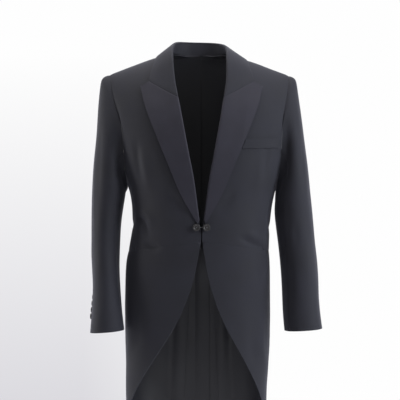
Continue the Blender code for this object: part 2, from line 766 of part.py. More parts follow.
def make_back(side, under):
    """Make the back with its tail; the under one carries on beneath the other at the vent."""
    rows = []
    steps = SKIRT_STEPS[1:]
    if under:
        steps = VENT_TOP_STEPS + steps
    for step in reversed(steps):
        outer_turn = tail_turn(side, mix(WAIST_LEVEL(180), HEM, step))
        row = []
        for index in range(BACK_COLUMNS + 1):
            turn = mix(180, outer_turn, index / BACK_COLUMNS)
            level = mix(WAIST_LEVEL(turn), HEM, step)
            row.append(wall(side, turn, level))
        if under:
            reach = VENT_UNDERLAP if step > VENT_TOP_STEPS[0] else -0.0005
            row = vent_underlap(side, mix(WAIST_LEVEL(180), HEM, step), reach) + row[1:]
        rows.append(row)
    for places in back_places(side):
        row = [wall(side, turn, level) for turn, level in places]
        if under:
            centre, near = row[0], row[1]
            doubled = [centre]
            for share in VENT_SPREAD:
                doubled.append((centre[0].lerp(near[0], share), centre[1].lerp(near[1], share)))
            row = doubled + row[1:]
        rows.append(row)
    panel("back_" + side, drawn_in(rows))


def tail_turn(side, level):
    """Return the turn of the tail's outer edge, over the side pleat."""
    return turn_of(side, TAIL_ACROSS(level), level, "back")


def vent_underlap(side, level, reach):
    """Return the points of the under tail from its hidden edge, past the centre by reach."""
    row = []
    for across in (-reach, mix(-reach, VENT_STEP, 0.5), VENT_STEP, VENT_BESIDE):
        turn = turn_of(side, abs(across), level, "back")
        turn = 360 - turn if across < 0 else turn
        sink = PLEAT_SINK if across <= VENT_STEP else 0.0
        row.append(wall(side, turn, level, -sink))
    return row


def make_skirt(side):
    """Make the skirt: cutaway front edge, waist seam, and pleat carried on beneath the tail."""
    top = [turn for turn, _ in forepart_places(side)[0]]
    top += [turn for turn, _ in sidebody_places(side)[0][1:]]
    shares = [(turn - top[0]) / (top[-1] - top[0]) for turn in top]
    rows = []
    for step in SKIRT_STEPS:
        edge_turn = CUTAWAY_TURN(mix(WAIST_LEVEL(0), HEM, step))
        for _ in range(6):
            edge_turn = CUTAWAY_TURN(mix(WAIST_LEVEL(edge_turn), HEM, step))
        pleat_level = mix(WAIST_LEVEL(180), HEM, step)
        pleat_turn = tail_turn(side, pleat_level)
        across = TAIL_ACROSS(pleat_level)
        row = []
        for share in shares[:-1]:
            turn = mix(edge_turn, pleat_turn, share)
            row.append(wall(side, turn, mix(WAIST_LEVEL(turn), HEM, step)))
        for beside in PLEAT_STEPS + [-PLEAT_UNDERLAP / 2, -PLEAT_UNDERLAP]:
            turn = turn_of(side, across + beside, pleat_level, "back")
            sink = 0.0 if beside == PLEAT_STEPS[0] else PLEAT_SINK
            row.append(wall(side, turn, mix(WAIST_LEVEL(turn), HEM, step), -sink))
        rows.append(row)
    panel("skirt_" + side, drawn_in(rows))


def arm_loop(side):
    """Return the armhole seam as points from the shoulder, down the front and up the back."""
    places = list(reversed(front_armhole(side)))
    places += sidebody_places(side)[-1][1:-1]
    places += back_armhole(side)[:-1]
    return [bare(side, turn, level) for turn, level in places]


def loop_angles(points):
    """Return each loop point's angle: 0 at the top, negative in front, 180 at the bottom."""
    lowest = min(range(len(points)), key=lambda index: points[index].z)
    travelled = [0.0]
    for first, second in zip(points, points[1:] + points[:1]):
        travelled.append(travelled[-1] + (second - first).length)
    front_run, whole = travelled[lowest], travelled[-1]
    angles = []
    for index in range(len(points)):
        if index <= lowest:
            angles.append(-180 * travelled[index] / front_run)
        else:
            angles.append(-180 - 180 * (travelled[index] - front_run) / (whole - front_run))
    return angles


def cuff_angles(side, angles):
    """Return the angles turned for the cuff, with both seams at their places there."""
    hind = HIND_SEAM_AT_CUFF[side] - 360
    fore = FORE_SEAM_AT_CUFF[side]
    fore_now = angles[seam_index(angles, FORE_SEAM_AT_ARMHOLE)]
    hind_now = angles[seam_index(angles, HIND_SEAM_AT_ARMHOLE)]
    turned = []
    for angle in angles:
        if fore_now >= angle >= hind_now:
            share = (angle - fore_now) / (hind_now - fore_now)
            turned.append(mix(fore, hind, share))
        elif angle > fore_now:
            turned.append(mix(hind + 360, fore, (angle - hind_now - 360) / (fore_now - hind_now - 360)))
        else:
            turned.append(mix(hind, fore - 360, (angle - hind_now) / (fore_now - 360 - hind_now)))
    return turned


def seam_index(angles, wanted):
    """Return the index of the loop point nearest the wanted angle."""
    return min(range(len(angles)), key=lambda index: abs(angles[index] - wanted))


def ring_point(side, ring, angle, tilt=0.0):
    """Return a point round the arm: angle 0 faces away from the body, -90 the front."""
    sine, cosine = math.sin(math.radians(angle)), math.cos(math.radians(angle))
    power = 2 / SLEEVE_SQUARENESS
    across = mix(ring.inner, ring.outer, 0.5 + 0.5 * math.copysign(abs(cosine) ** power, cosine))
    y = mix(ring.front, ring.back, 0.5 + 0.5 * math.copysign(abs(sine) ** power, sine))
    return Vector((SIGN[side] * across, y, ring.height - tilt * cosine))


def ring_at(side, height):
    """Return the sleeve's ring at a height."""
    table = SLEEVES[side]
    values = [column(table, "height", name)(height) for name in ("outer", "inner", "front", "back")]
    return SleeveRing(height, *values)


def sleeve_rows(side):
    """Return the rings of outer points of the whole sleeve, armhole to cuff."""
    loop = arm_loop(side)
    angles = loop_angles(loop)
    turned = cuff_angles(side, angles)
    top_ring = SLEEVES[side][0]
    cuff_height = SLEEVES[side][-1].height
    outwards = Vector((SIGN[side], 0, 0))
    fuller = column(HEAD_LINE, "height", side)
    rings = []
    for t in SLEEVE_HEAD_STEPS:
        ring = []
        for start, angle in zip(loop, angles):
            end = ring_point(side, top_ring, angle)
            rise = 0.5 + 0.5 * math.cos(math.radians(angle))
            reach = (end - start).length
            set_off = (outwards * mix(0.5, 1.0, rise) + Vector((0, 0, -mix(0.9, 0.16, rise)))).normalized()
            set_off *= mix(reach, HEAD_THRUST, rise)
            arrive = Vector((0, 0, -reach))
            begin = start + outwards * SEAM_GAP
            point = begin * (2 * t ** 3 - 3 * t ** 2 + 1) + set_off * (t ** 3 - 2 * t ** 2 + t)
            point += end * (3 * t ** 2 - 2 * t ** 3) + arrive * (t ** 3 - t ** 2)
            point += outwards * fuller(point.z) * rise ** 2 * smooth_step(t / SLEEVE_HEAD_STEPS[2])
            ring.append(point)
        rings.append(ring)
    for step in range(1, SLEEVE_ARM_STEPS + 1):
        part = step / SLEEVE_ARM_STEPS
        ring = ring_at(side, mix(top_ring.height, cuff_height, part))
        wanted = [mix(angle, new, smooth_step(part)) for angle, new in zip(angles, turned)]
        tilt = CUFF_TILT[side] * part ** 3
        rings.append([ring_point(side, ring, angle, tilt) for angle in wanted])
    return rings, angles


def make_sleeve(side):
    """Make the topsleeve and the undersleeve from the sleeve's rings."""
    rings, angles = sleeve_rows(side)
    count = len(angles)
    pairs = []
    for r, ring in enumerate(rings):
        before, after = rings[max(r - 1, 0)], rings[min(r + 1, len(rings) - 1)]
        row = []
        for c, point in enumerate(ring):
            round_way = ring[(c + 1) % count] - ring[c - 1]
            along = after[c] - before[c]
            outward = round_way.cross(along).normalized()
            middle = sum(ring, Vector()) / count
            if outward.dot(point - middle) < 0:
                outward.negate()
            if r == 0:
                outward = Vector((0, outward.y, outward.z)).normalized()
            row.append((point, point - outward * SLEEVE_CLOTH))
        pairs.append(row)
    fore = seam_index(angles, FORE_SEAM_AT_ARMHOLE)
    hind = seam_index(angles, HIND_SEAM_AT_ARMHOLE)
    under = [row[fore:hind + 1] for row in pairs]
    top = [row[hind:] + row[:fore + 1] for row in pairs]
    panel("undersleeve_" + side, drawn_in(under))
    panel("topsleeve_" + side, drawn_in(top))
    return pairs, hind


def button(name, centre, outward, diameter, shank=0.0):
    """Make a dished button on its thread shank, turned from a half profile."""
    radius = diameter / 2
    thick = diameter * 0.2
    profile = [(0.88 * radius, 0), (radius, 0.5 * thick)]
    profile += [(0.86 * radius, thick), (0.6 * radius, 0.72 * thick)]
    if shank:
        profile = [(SHANK_SHARE * radius, -shank), (SHANK_SHARE * radius, 0)] + profile
    made = bmesh.new()
    steps = 14
    rings = []
    for away, rise in profile:
        ring = []
        for step in range(steps):
            angle = 2 * math.pi * step / steps
            ring.append(made.verts.new((away * math.cos(angle), away * math.sin(angle), rise)))
        rings.append(ring)
    for low, high in zip(rings, rings[1:]):
        for step in range(steps):
            after = (step + 1) % steps
            made.faces.new((low[step], low[after], high[after], high[step]))
    made.faces.new(reversed(rings[0]))
    made.faces.new(rings[-1])
    placed = outward.to_track_quat("Z", "Y").to_matrix().to_4x4()
    placed.translation = centre
    made.transform(placed)
    return add_object(name, made, HORN, 0.3)


def make_front_buttons():
    """Make the two front buttons and the link that joins them across the front edges."""
    lift = FRONT_BUTTON_LIFT
    for side in ("right", "left"):
        point, outward = seen(side, FRONT_BUTTON_ACROSS, BUTTON_HEIGHT, "front", lift)
        button("front_button_" + side, point, outward, FRONT_BUTTON, lift - LAYER_GAP)
    made = bmesh.new()
    length = 2 * (FRONT_BUTTON_ACROSS - SHANK_SHARE * FRONT_BUTTON / 2 - LAYER_GAP)
    bmesh.ops.create_cone(
        made, cap_ends=True, segments=8, radius1=LINK_RADIUS, radius2=LINK_RADIUS, depth=length
    )
    point, _ = seen("left", 0.0, BUTTON_HEIGHT, "front", LINK_LIFT)
    placed = Vector((1, 0, 0)).to_track_quat("Z", "Y").to_matrix().to_4x4()
    placed.translation = point
    made.transform(placed)
    add_object("front_link", made, HORN, 0.6)


def make_cuff_buttons(side, pairs, hind):
    """Make the four buttons beside the hindarm seam, on the topsleeve."""
    for number, height in enumerate(CUFF_BUTTON_HEIGHTS, 1):
        for low, high in zip(pairs, pairs[1:]):
            if high[hind][0].z <= height <= low[hind][0].z:
                break
        part = (height - low[hind][0].z) / (high[hind][0].z - low[hind][0].z)
        first, second = hind, (hind + 1) % len(low)
        seam = low[first][0].lerp(high[first][0], part)
        beside = low[second][0].lerp(high[second][0], part)
        inside = low[first][1].lerp(high[first][1], part)
        inside_beside = low[second][1].lerp(high[second][1], part)
        way = (beside - seam).normalized()
        outward = ((seam - inside) + (beside - inside_beside)).normalized()
        outward = (outward - way * outward.dot(way)).normalized()
        centre = seam + way * (CUFF_BUTTON / 2 + 0.001) + outward * CUFF_BUTTON_LIFT
        shank = CUFF_BUTTON_LIFT - CUFF_BUTTON_SEAT
        button("cuff_button_" + side + "_" + str(number), centre, outward, CUFF_BUTTON, shank)


def make_back_buttons():
    """Make the two buttons at the back waist, at the top of the side pleats."""
    for side in ("right", "left"):
        across = TAIL_EDGE[0].across - 0.003
        height = WAIST_LEVEL(166) + 0.011
        point, outward = seen(side, across, height, "back", BACK_BUTTON_LIFT)
        button("back_button_" + side, point, outward, BACK_BUTTON, BACK_BUTTON_LIFT - BACK_BUTTON_SEAT)


def make_welt():
    """Make the breast pocket welt on the wearer's left chest, beside the lapel's edge."""
    rows = []
    for step in range(4):
        rise = step / 3
        row = []
        for index in range(9):
            part = index / 8
            height = mix(-0.2135, -0.1912, rise) + 0.0035 * part
            start = LAPEL_ACROSS(height) + 0.0015
            across = mix(start, 0.183, part)
            point, outward = seen("left", across, height, "front", BODY_CLOTH + LAYER_GAP)
            row.append((point, point - outward * (BODY_CLOTH - 0.0001)))
        rows.append(row)
    panel("breast_welt", rows)


for existing in list(bpy.data.objects):
    bpy.data.objects.remove(existing, do_unlink=True)

for coat_side in ("right", "left"):
    make_body(coat_side)
    make_back(coat_side, under=coat_side == "right")
    make_skirt(coat_side)
    make_lapel(coat_side)
    sleeve_pairs, hind_index = make_sleeve(coat_side)
    make_cuff_buttons(coat_side, sleeve_pairs, hind_index)
make_collar()
make_welt()
make_front_buttons()
make_back_buttons()
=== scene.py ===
"""Morning coat of black worsted in its worn shape: cloth panels, horn buttons and a thread link."""
import json
import math
from collections import namedtuple

import bmesh
import bpy
import numpy as np
from mathutils import Matrix, Vector
from mathutils.bvhtree import BVHTree
from mathutils.kdtree import KDTree

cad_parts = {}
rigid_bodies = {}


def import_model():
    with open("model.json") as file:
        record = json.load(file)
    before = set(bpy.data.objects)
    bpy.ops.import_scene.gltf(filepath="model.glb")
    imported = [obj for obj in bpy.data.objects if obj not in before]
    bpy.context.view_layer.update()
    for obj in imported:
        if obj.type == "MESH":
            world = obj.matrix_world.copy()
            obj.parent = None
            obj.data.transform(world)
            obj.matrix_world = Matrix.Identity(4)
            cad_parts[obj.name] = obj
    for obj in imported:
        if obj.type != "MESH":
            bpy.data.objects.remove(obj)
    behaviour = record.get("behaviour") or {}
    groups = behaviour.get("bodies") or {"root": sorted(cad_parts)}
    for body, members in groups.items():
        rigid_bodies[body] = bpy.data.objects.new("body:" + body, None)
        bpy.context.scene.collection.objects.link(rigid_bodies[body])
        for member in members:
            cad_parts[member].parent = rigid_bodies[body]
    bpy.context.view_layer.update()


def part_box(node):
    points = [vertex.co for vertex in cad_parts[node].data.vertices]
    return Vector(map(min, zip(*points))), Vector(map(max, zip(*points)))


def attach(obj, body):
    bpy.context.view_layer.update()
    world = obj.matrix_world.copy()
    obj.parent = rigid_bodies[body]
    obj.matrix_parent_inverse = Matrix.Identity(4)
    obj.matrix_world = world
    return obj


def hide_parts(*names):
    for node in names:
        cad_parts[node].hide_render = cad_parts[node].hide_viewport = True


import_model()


# Foreparts: the two front panels, from the shoulder seam to the waist seam and round to the side seam.
# Fine worsted wool on horsehair canvas, shaped to the chest with the iron. The link button draws the
# fronts together, and that and the bent sleeves leave the soft troughs at the waist and the armholes.
SIDES = ("right", "left")
SIGN = {"right": -1, "left": 1}
BODY_HALF_WIDTH = 0.170
BODY_HALF_DEPTH = 0.112
BODY_ROUND = 0.15
BODY_MIDDLE = (0.0, 0.0)
PANEL_EDGE = 0.0026
PANEL_STEPS = 2
FOREPART_STEPS = 3


def linear(code):
    """Return an sRGB hex colour as linear red, green and blue, with 1 for alpha."""
    shades = [int(code[start:start + 2], 16) / 255 for start in (1, 3, 5)]
    evened = [shade / 12.92 if shade <= 0.04045 else ((shade + 0.055) / 1.055) ** 2.4 for shade in shades]
    return (*evened, 1.0)


def add_node(tree, kind, settings=None, links=None):
    """Add a shader node, give its sockets or properties their settings, and link its inputs."""
    node = tree.nodes.new(kind)
    for name, value in (settings or {}).items():
        if name in node.inputs:
            node.inputs[name].default_value = value
        else:
            setattr(node, name, value)
    for name, (source, output) in (links or {}).items():
        tree.links.new(source.outputs[output], node.inputs[name])
    return node


# At scale 1, Blender's wave texture repeats after this length, in metres
WAVE_LENGTH = 0.314
SHEEN_TINT = (0.84, 0.84, 1.0, 1)
# How far the nap makes a cloth rougher or smoother from place to place
NAP_ROUGHNESS = 0.05


def woven(name, dark, light, line_spacing, line_angle, roughness, specular, sheen, relief):
    """Return a cloth material of slanting twill lines, drawn on the piece's own UV map in metres."""
    made = bpy.data.materials.new(name)
    made.use_nodes = True
    tree = made.node_tree
    shader = tree.nodes["Principled BSDF"]
    place = add_node(tree, "ShaderNodeUVMap", {"uv_map": "cloth"})
    turned = add_node(tree, "ShaderNodeMapping", {"Rotation": (0, 0, math.radians(line_angle))},
                      {"Vector": (place, "UV")})
    lines = add_node(tree, "ShaderNodeTexWave",
                     {"Scale": WAVE_LENGTH / line_spacing, "Distortion": 0.6, "Detail": 1.0},
                     {"Vector": (turned, "Vector")})
    yarns = add_node(tree, "ShaderNodeTexNoise", {"Scale": 900.0, "Detail": 2.0}, {"Vector": (place, "UV")})
    nap = add_node(tree, "ShaderNodeTexNoise", {"Scale": 16.0, "Detail": 3.0, "Roughness": 0.55},
                   {"Vector": (place, "UV")})
    grain = add_node(tree, "ShaderNodeMix", {"data_type": "FLOAT", "Factor": 0.4},
                     {"A": (lines, "Fac"), "B": (yarns, "Fac")})
    tone = add_node(tree, "ShaderNodeMix", {"data_type": "FLOAT", "Factor": 0.5},
                    {"A": (grain, "Result"), "B": (nap, "Fac")})
    ramp = add_node(tree, "ShaderNodeValToRGB", {}, {"Fac": (tone, "Result")})
    ramp.color_ramp.elements[0].position = 0.30
    ramp.color_ramp.elements[0].color = linear(dark)
    ramp.color_ramp.elements[1].position = 0.70
    ramp.color_ramp.elements[1].color = linear(light)
    bump = add_node(tree, "ShaderNodeBump", {"Strength": relief, "Distance": 0.0003},
                    {"Height": (grain, "Result")})
    rough = add_node(tree, "ShaderNodeMapRange",
                     {"From Min": 0.3, "From Max": 0.7,
                      "To Min": roughness - NAP_ROUGHNESS, "To Max": roughness + NAP_ROUGHNESS},
                     {"Value": (nap, "Fac")})
    tree.links.new(ramp.outputs["Color"], shader.inputs["Base Color"])
    tree.links.new(rough.outputs["Result"], shader.inputs["Roughness"])
    tree.links.new(bump.outputs["Normal"], shader.inputs["Normal"])
    shader.inputs["Metallic"].default_value = 0.0
    shader.inputs["IOR"].default_value = 1.5
    shader.inputs["Specular IOR Level"].default_value = specular
    shader.inputs["Sheen Weight"].default_value = sheen
    shader.inputs["Sheen Roughness"].default_value = 0.4
    shader.inputs["Sheen Tint"].default_value = SHEEN_TINT
    return made


# Worsted wool twill, dyed black: a close, smooth weave with a faint violet sheen at a slant. The real
# twill lines stand 0.5 mm apart, and 1.2 mm here, so that they show in a close view.
worsted = woven("worsted_twill", dark="#0f0f12", light="#17171c", line_spacing=0.0012, line_angle=63,
                roughness=0.74, specular=0.09, sheen=0.07, relief=0.35)
# Viscose satin lining: finer and smoother than the worsted, with a soft gloss, and almost black. Its
# threads stand 0.1 mm apart, and 0.6 mm here.
lining = woven("satin_lining", dark="#0f0f12", light="#151519", line_spacing=0.0006, line_angle=20,
               roughness=0.46, specular=0.20, sheen=0.0, relief=0.12)


def solid_tree(nodes):
    """Return a search tree of the solids with these names."""
    places = []
    faces = []
    for name in nodes:
        mesh = bpy.data.objects[name].data
        start = len(places)
        places += [vertex.co.copy() for vertex in mesh.vertices]
        faces += [[start + index for index in face.vertices] for face in mesh.polygons]
    return BVHTree.FromPolygons(places, faces)


BODY_PARTS = ("forepart_", "sidebody_", "back_", "skirt_")
BODY_TREE = solid_tree([part + side for part in BODY_PARTS for side in SIDES])
# For each side that a crease is seen from: the way of sight, and the way its first number is measured
SEEN_FROM = {
    "front": (Vector((0, 1, 0)), Vector((1, 0, 0))),
    "back": (Vector((0, -1, 0)), Vector((1, 0, 0))),
    "right": (Vector((1, 0, 0)), Vector((0, 1, 0))),
    "left": (Vector((-1, 0, 0)), Vector((0, 1, 0))),
}
# A crease of worn cloth: the side it is seen from, its width, its height or, below 0, its depth, and
# the places it passes, each across and up as seen from that side, in metres
Crease = namedtuple("Crease", "seen width rise places")
# The share of a crease's length over which each of its ends fades out
CREASE_FADE = 0.4


def laid_path(tree, crease):
    """Return the places of a crease on the cloth."""
    sight, across_way = SEEN_FROM[crease.seen]
    path = []
    for across, height in crease.places:
        start = across_way * across + Vector((0, 0, height)) - sight
        hit = tree.ray_cast(start, sight)[0]
        path.append(hit or tree.find_nearest(start + sight)[0])
    return np.array(path, float)


def near_path(points, path):
    """Return each point's distance from a path, and how far along the path it lies, from 0 to 1."""
    spans = np.linalg.norm(np.diff(path, axis=0), axis=1)
    starts = np.concatenate([[0], np.cumsum(spans)])
    best = np.full(len(points), 1e9)
    along = np.zeros(len(points))
    for index, span in enumerate(spans):
        way = (path[index + 1] - path[index]) / span
        reach = np.clip((points - path[index]) @ way, 0, span)
        away = np.linalg.norm(points - path[index] - reach[:, None] * way, axis=1)
        nearer = away < best
        best[nearer] = away[nearer]
        along[nearer] = (starts[index] + reach[nearer]) / starts[-1]
    return best, along


def creased(points, tree, creases):
    """Return how far creases lift each point of the cloth: each one fades to nothing at its two ends."""
    rise = np.zeros(len(points))
    for crease in creases:
        away, along = near_path(points, laid_path(tree, crease))
        fade = np.clip(np.minimum(along, 1 - along) / CREASE_FADE, 0, 1)
        rise += crease.rise * np.exp(-(away / crease.width) ** 2) * fade * fade * (3 - 2 * fade)
    return rise


EASE_RISE = 0.0003


def ease(points):
    """Return the slight unevenness of pressed cloth, under half a millimetre."""
    x, y, z = points.T
    wave = np.sin(31 * x + 17 * z + 1.3) * np.sin(23 * z - 19 * y + 0.4)
    wave += 0.6 * np.sin(53 * z + 29 * x + 2.1) * np.sin(41 * y + 37 * x)
    return EASE_RISE * wave


ARMHOLE_PARTS = ("forepart_", "sidebody_", "back_")
SLEEVE_PARTS = ("topsleeve_", "undersleeve_")
# Sleeve and body meet where their points lie this near, and the seam's path has up to this many places
MET_WITHIN = 0.0014
ARMHOLE_STEPS = 48


def armhole_path(side):
    """Return the closed path of an armhole seam, through the places where sleeve and body meet."""
    body = [vertex.co for part in ARMHOLE_PARTS for vertex in bpy.data.objects[part + side].data.vertices]
    tree = KDTree(len(body))
    for index, place in enumerate(body):
        tree.insert(place, index)
    tree.balance()
    sleeve = [vertex.co for part in SLEEVE_PARTS for vertex in bpy.data.objects[part + side].data.vertices]
    met = np.array([place for place in sleeve if tree.find(place)[2] < MET_WITHIN])
    middle = met.mean(axis=0)
    turns = np.arctan2(met[:, 2] - middle[2], met[:, 1] - middle[1])
    one_step = 2 * math.pi / ARMHOLE_STEPS
    path = []
    for step in range(ARMHOLE_STEPS):
        within = np.abs(turns - (-math.pi + (step + 0.5) * one_step)) < one_step
        if within.any():
            path.append(met[within].mean(axis=0))
    return np.array(path + path[:1])


ARMHOLES = {side: armhole_path(side) for side in SIDES}
# The armhole seam sinks between the chest and the sleeve, most at the middle of the chest
ARMHOLE_HEIGHTS = [-0.210, -0.170, -0.130, -0.090, -0.040]
ARMHOLE_DEPTHS = [0.0, 0.0006, 0.0016, 0.0010, 0.0006]
ARMHOLE_WIDTH = 0.0048


def armhole_dip(points, side):
    """Return how far the armhole seam draws each point of the cloth in."""
    away = near_path(points, ARMHOLES[side])[0]
    return np.interp(points[:, 2], ARMHOLE_HEIGHTS, ARMHOLE_DEPTHS) * np.exp(-(away / ARMHOLE_WIDTH) ** 2)


CRISP_ANGLE = math.radians(62)


def crisp_edges(made):
    """Return the edges where the broad faces of a panel meet its narrow rim."""
    return {edge for edge in made.edges if edge.is_manifold and edge.calc_face_angle() > CRISP_ANGLE}


def regions_between(made, crisp):
    """Return the groups of faces that crisp edges part, largest first."""
    unseen = set(made.faces)
    regions = []
    while unseen:
        todo = [unseen.pop()]
        region = []
        while todo:
            face = todo.pop()
            region.append(face)
            for edge in face.edges:
                if edge not in crisp:
                    todo += [other for other in edge.link_faces if other in unseen]
                    unseen.difference_update(edge.link_faces)
        regions.append(region)
    return sorted(regions, key=lambda region: -sum(face.calc_area() for face in region))


def looks_away(region, middle):
    """Return how much a region of faces looks away from the upright line through a middle."""
    total = 0.0
    for face in region:
        centre = face.calc_center_median()
        slant = face.normal.x * (centre.x - middle[0]) + face.normal.y * (centre.y - middle[1])
        total += slant * face.calc_area()
    return total


def select_only(piece):
    """Select one piece and no other."""
    bpy.ops.object.select_all(action="DESELECT")
    piece.select_set(True)
    bpy.context.view_layer.objects.active = piece


def apply_modifier(piece, name):
    """Apply one modifier of a piece."""
    select_only(piece)
    bpy.ops.object.modifier_apply(modifier=name)


# The solid's points this near each other are one, and its triangles join where they bend less than this
MERGE_WITHIN = 0.00002
JOIN_ANGLE = math.radians(60)


def panel_copy(node, steps, edge_width, middle, cloth, inside):
    """Copy a panel's solid, put a narrow row of faces beside its edges, and refine it the given times.

    Its points keep the cloth's outward direction and how near they are to an edge, from 0 to 1. The
    side that faces the middle takes the inside material.
    """
    made = bmesh.new()
    outward = made.verts.layers.float_vector.new("outward")
    near_edge = made.verts.layers.float.new("near_edge")
    fixed = made.edges.layers.float.new("crease_edge")
    made.from_mesh(bpy.data.objects[node].data)
    bmesh.ops.remove_doubles(made, verts=made.verts, dist=MERGE_WITHIN)
    bmesh.ops.join_triangles(made, faces=made.faces, angle_face_threshold=JOIN_ANGLE,
                             angle_shape_threshold=JOIN_ANGLE, topology_influence=1.0)
    made.normal_update()
    broad = sum(regions_between(made, crisp_edges(made))[:2], [])
    bmesh.ops.inset_region(made, faces=broad, thickness=edge_width, use_even_offset=False)
    made.normal_update()
    crisp = crisp_edges(made)
    pair = sorted(regions_between(made, crisp)[:2], key=lambda region: -looks_away(region, middle))
    outer, inner = (set(region) for region in pair)
    for side, faces in ((1, outer), (-1, inner)):
        for face in faces:
            for vertex in face.verts:
                vertex[outward] += face.normal * face.calc_area() * side
    for face in made.faces:
        face.smooth = True
        face.material_index = 1 if face in inner else 0
    for edge in crisp:
        edge[fixed] = 1.0
        for vertex in edge.verts:
            vertex[near_edge] = 1.0
    for vertex in made.verts:
        vertex[outward] = vertex[outward].normalized()
    mesh = bpy.data.meshes.new(node + "_cloth")
    made.to_mesh(mesh)
    made.free()
    piece = bpy.data.objects.new(node + "_cloth", mesh)
    bpy.context.scene.collection.objects.link(piece)
    mesh.materials.append(cloth)
    mesh.materials.append(inside)
    finer = piece.modifiers.new("finer", "SUBSURF")
    finer.levels = steps
    finer.render_levels = steps
    apply_modifier(piece, "finer")
    return piece


def kept_values(piece, name):
    """Return a value that every mesh point of a piece keeps, as an array."""
    kept = piece.data.attributes[name]
    wide = 3 if kept.data_type == "FLOAT_VECTOR" else 1
    flat = np.zeros(len(piece.data.vertices) * wide)
    kept.data.foreach_get("vector" if wide == 3 else "value", flat)
    return flat.reshape(-1, wide) if wide == 3 else flat


def points_of(piece):
    """Return the mesh points of a piece as an array."""
    flat = np.zeros(len(piece.data.vertices) * 3)
    piece.data.vertices.foreach_get("co", flat)
    return flat.reshape(-1, 3)


def put_points(piece, points):
    """Give the mesh of a piece its moved points."""
    piece.data.vertices.foreach_set("co", points.reshape(-1))
    piece.data.update()


def lift(piece, rise):
    """Move each point of the cloth outwards by its own rise."""
    outward = kept_values(piece, "outward")
    outward /= np.maximum(np.linalg.norm(outward, axis=1, keepdims=True), 1e-9)
    put_points(piece, points_of(piece) + outward * rise[:, None])


def lay_uv(piece, places, period):
    """Give a piece its cloth UV map from each point's place, in metres, which repeats after a period."""
    mesh = piece.data
    corners = np.zeros(len(mesh.loops), dtype=np.int32)
    mesh.loops.foreach_get("vertex_index", corners)
    starts = np.zeros(len(mesh.polygons), dtype=np.int32)
    mesh.polygons.foreach_get("loop_start", starts)
    counts = np.zeros(len(mesh.polygons), dtype=np.int32)
    mesh.polygons.foreach_get("loop_total", counts)
    laid = places[corners]
    first = np.repeat(laid[starts, 0], counts)
    laid[:, 0] += period * np.round((first - laid[:, 0]) / period)
    layer = mesh.uv_layers.new(name="cloth")
    layer.data.foreach_set("uv", laid.astype(np.float32).reshape(-1))


def body_uv(points):
    """Return each point's place round the body and its height."""
    turn = np.arctan2(points[:, 0] / BODY_HALF_WIDTH, -points[:, 1] / BODY_HALF_DEPTH)
    return np.stack([turn * BODY_ROUND, points[:, 2]], 1)


def register(piece, node):
    """Say what a cloth piece rides on, and hide the solid that it replaces."""
    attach(piece, "root")
    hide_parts(node)


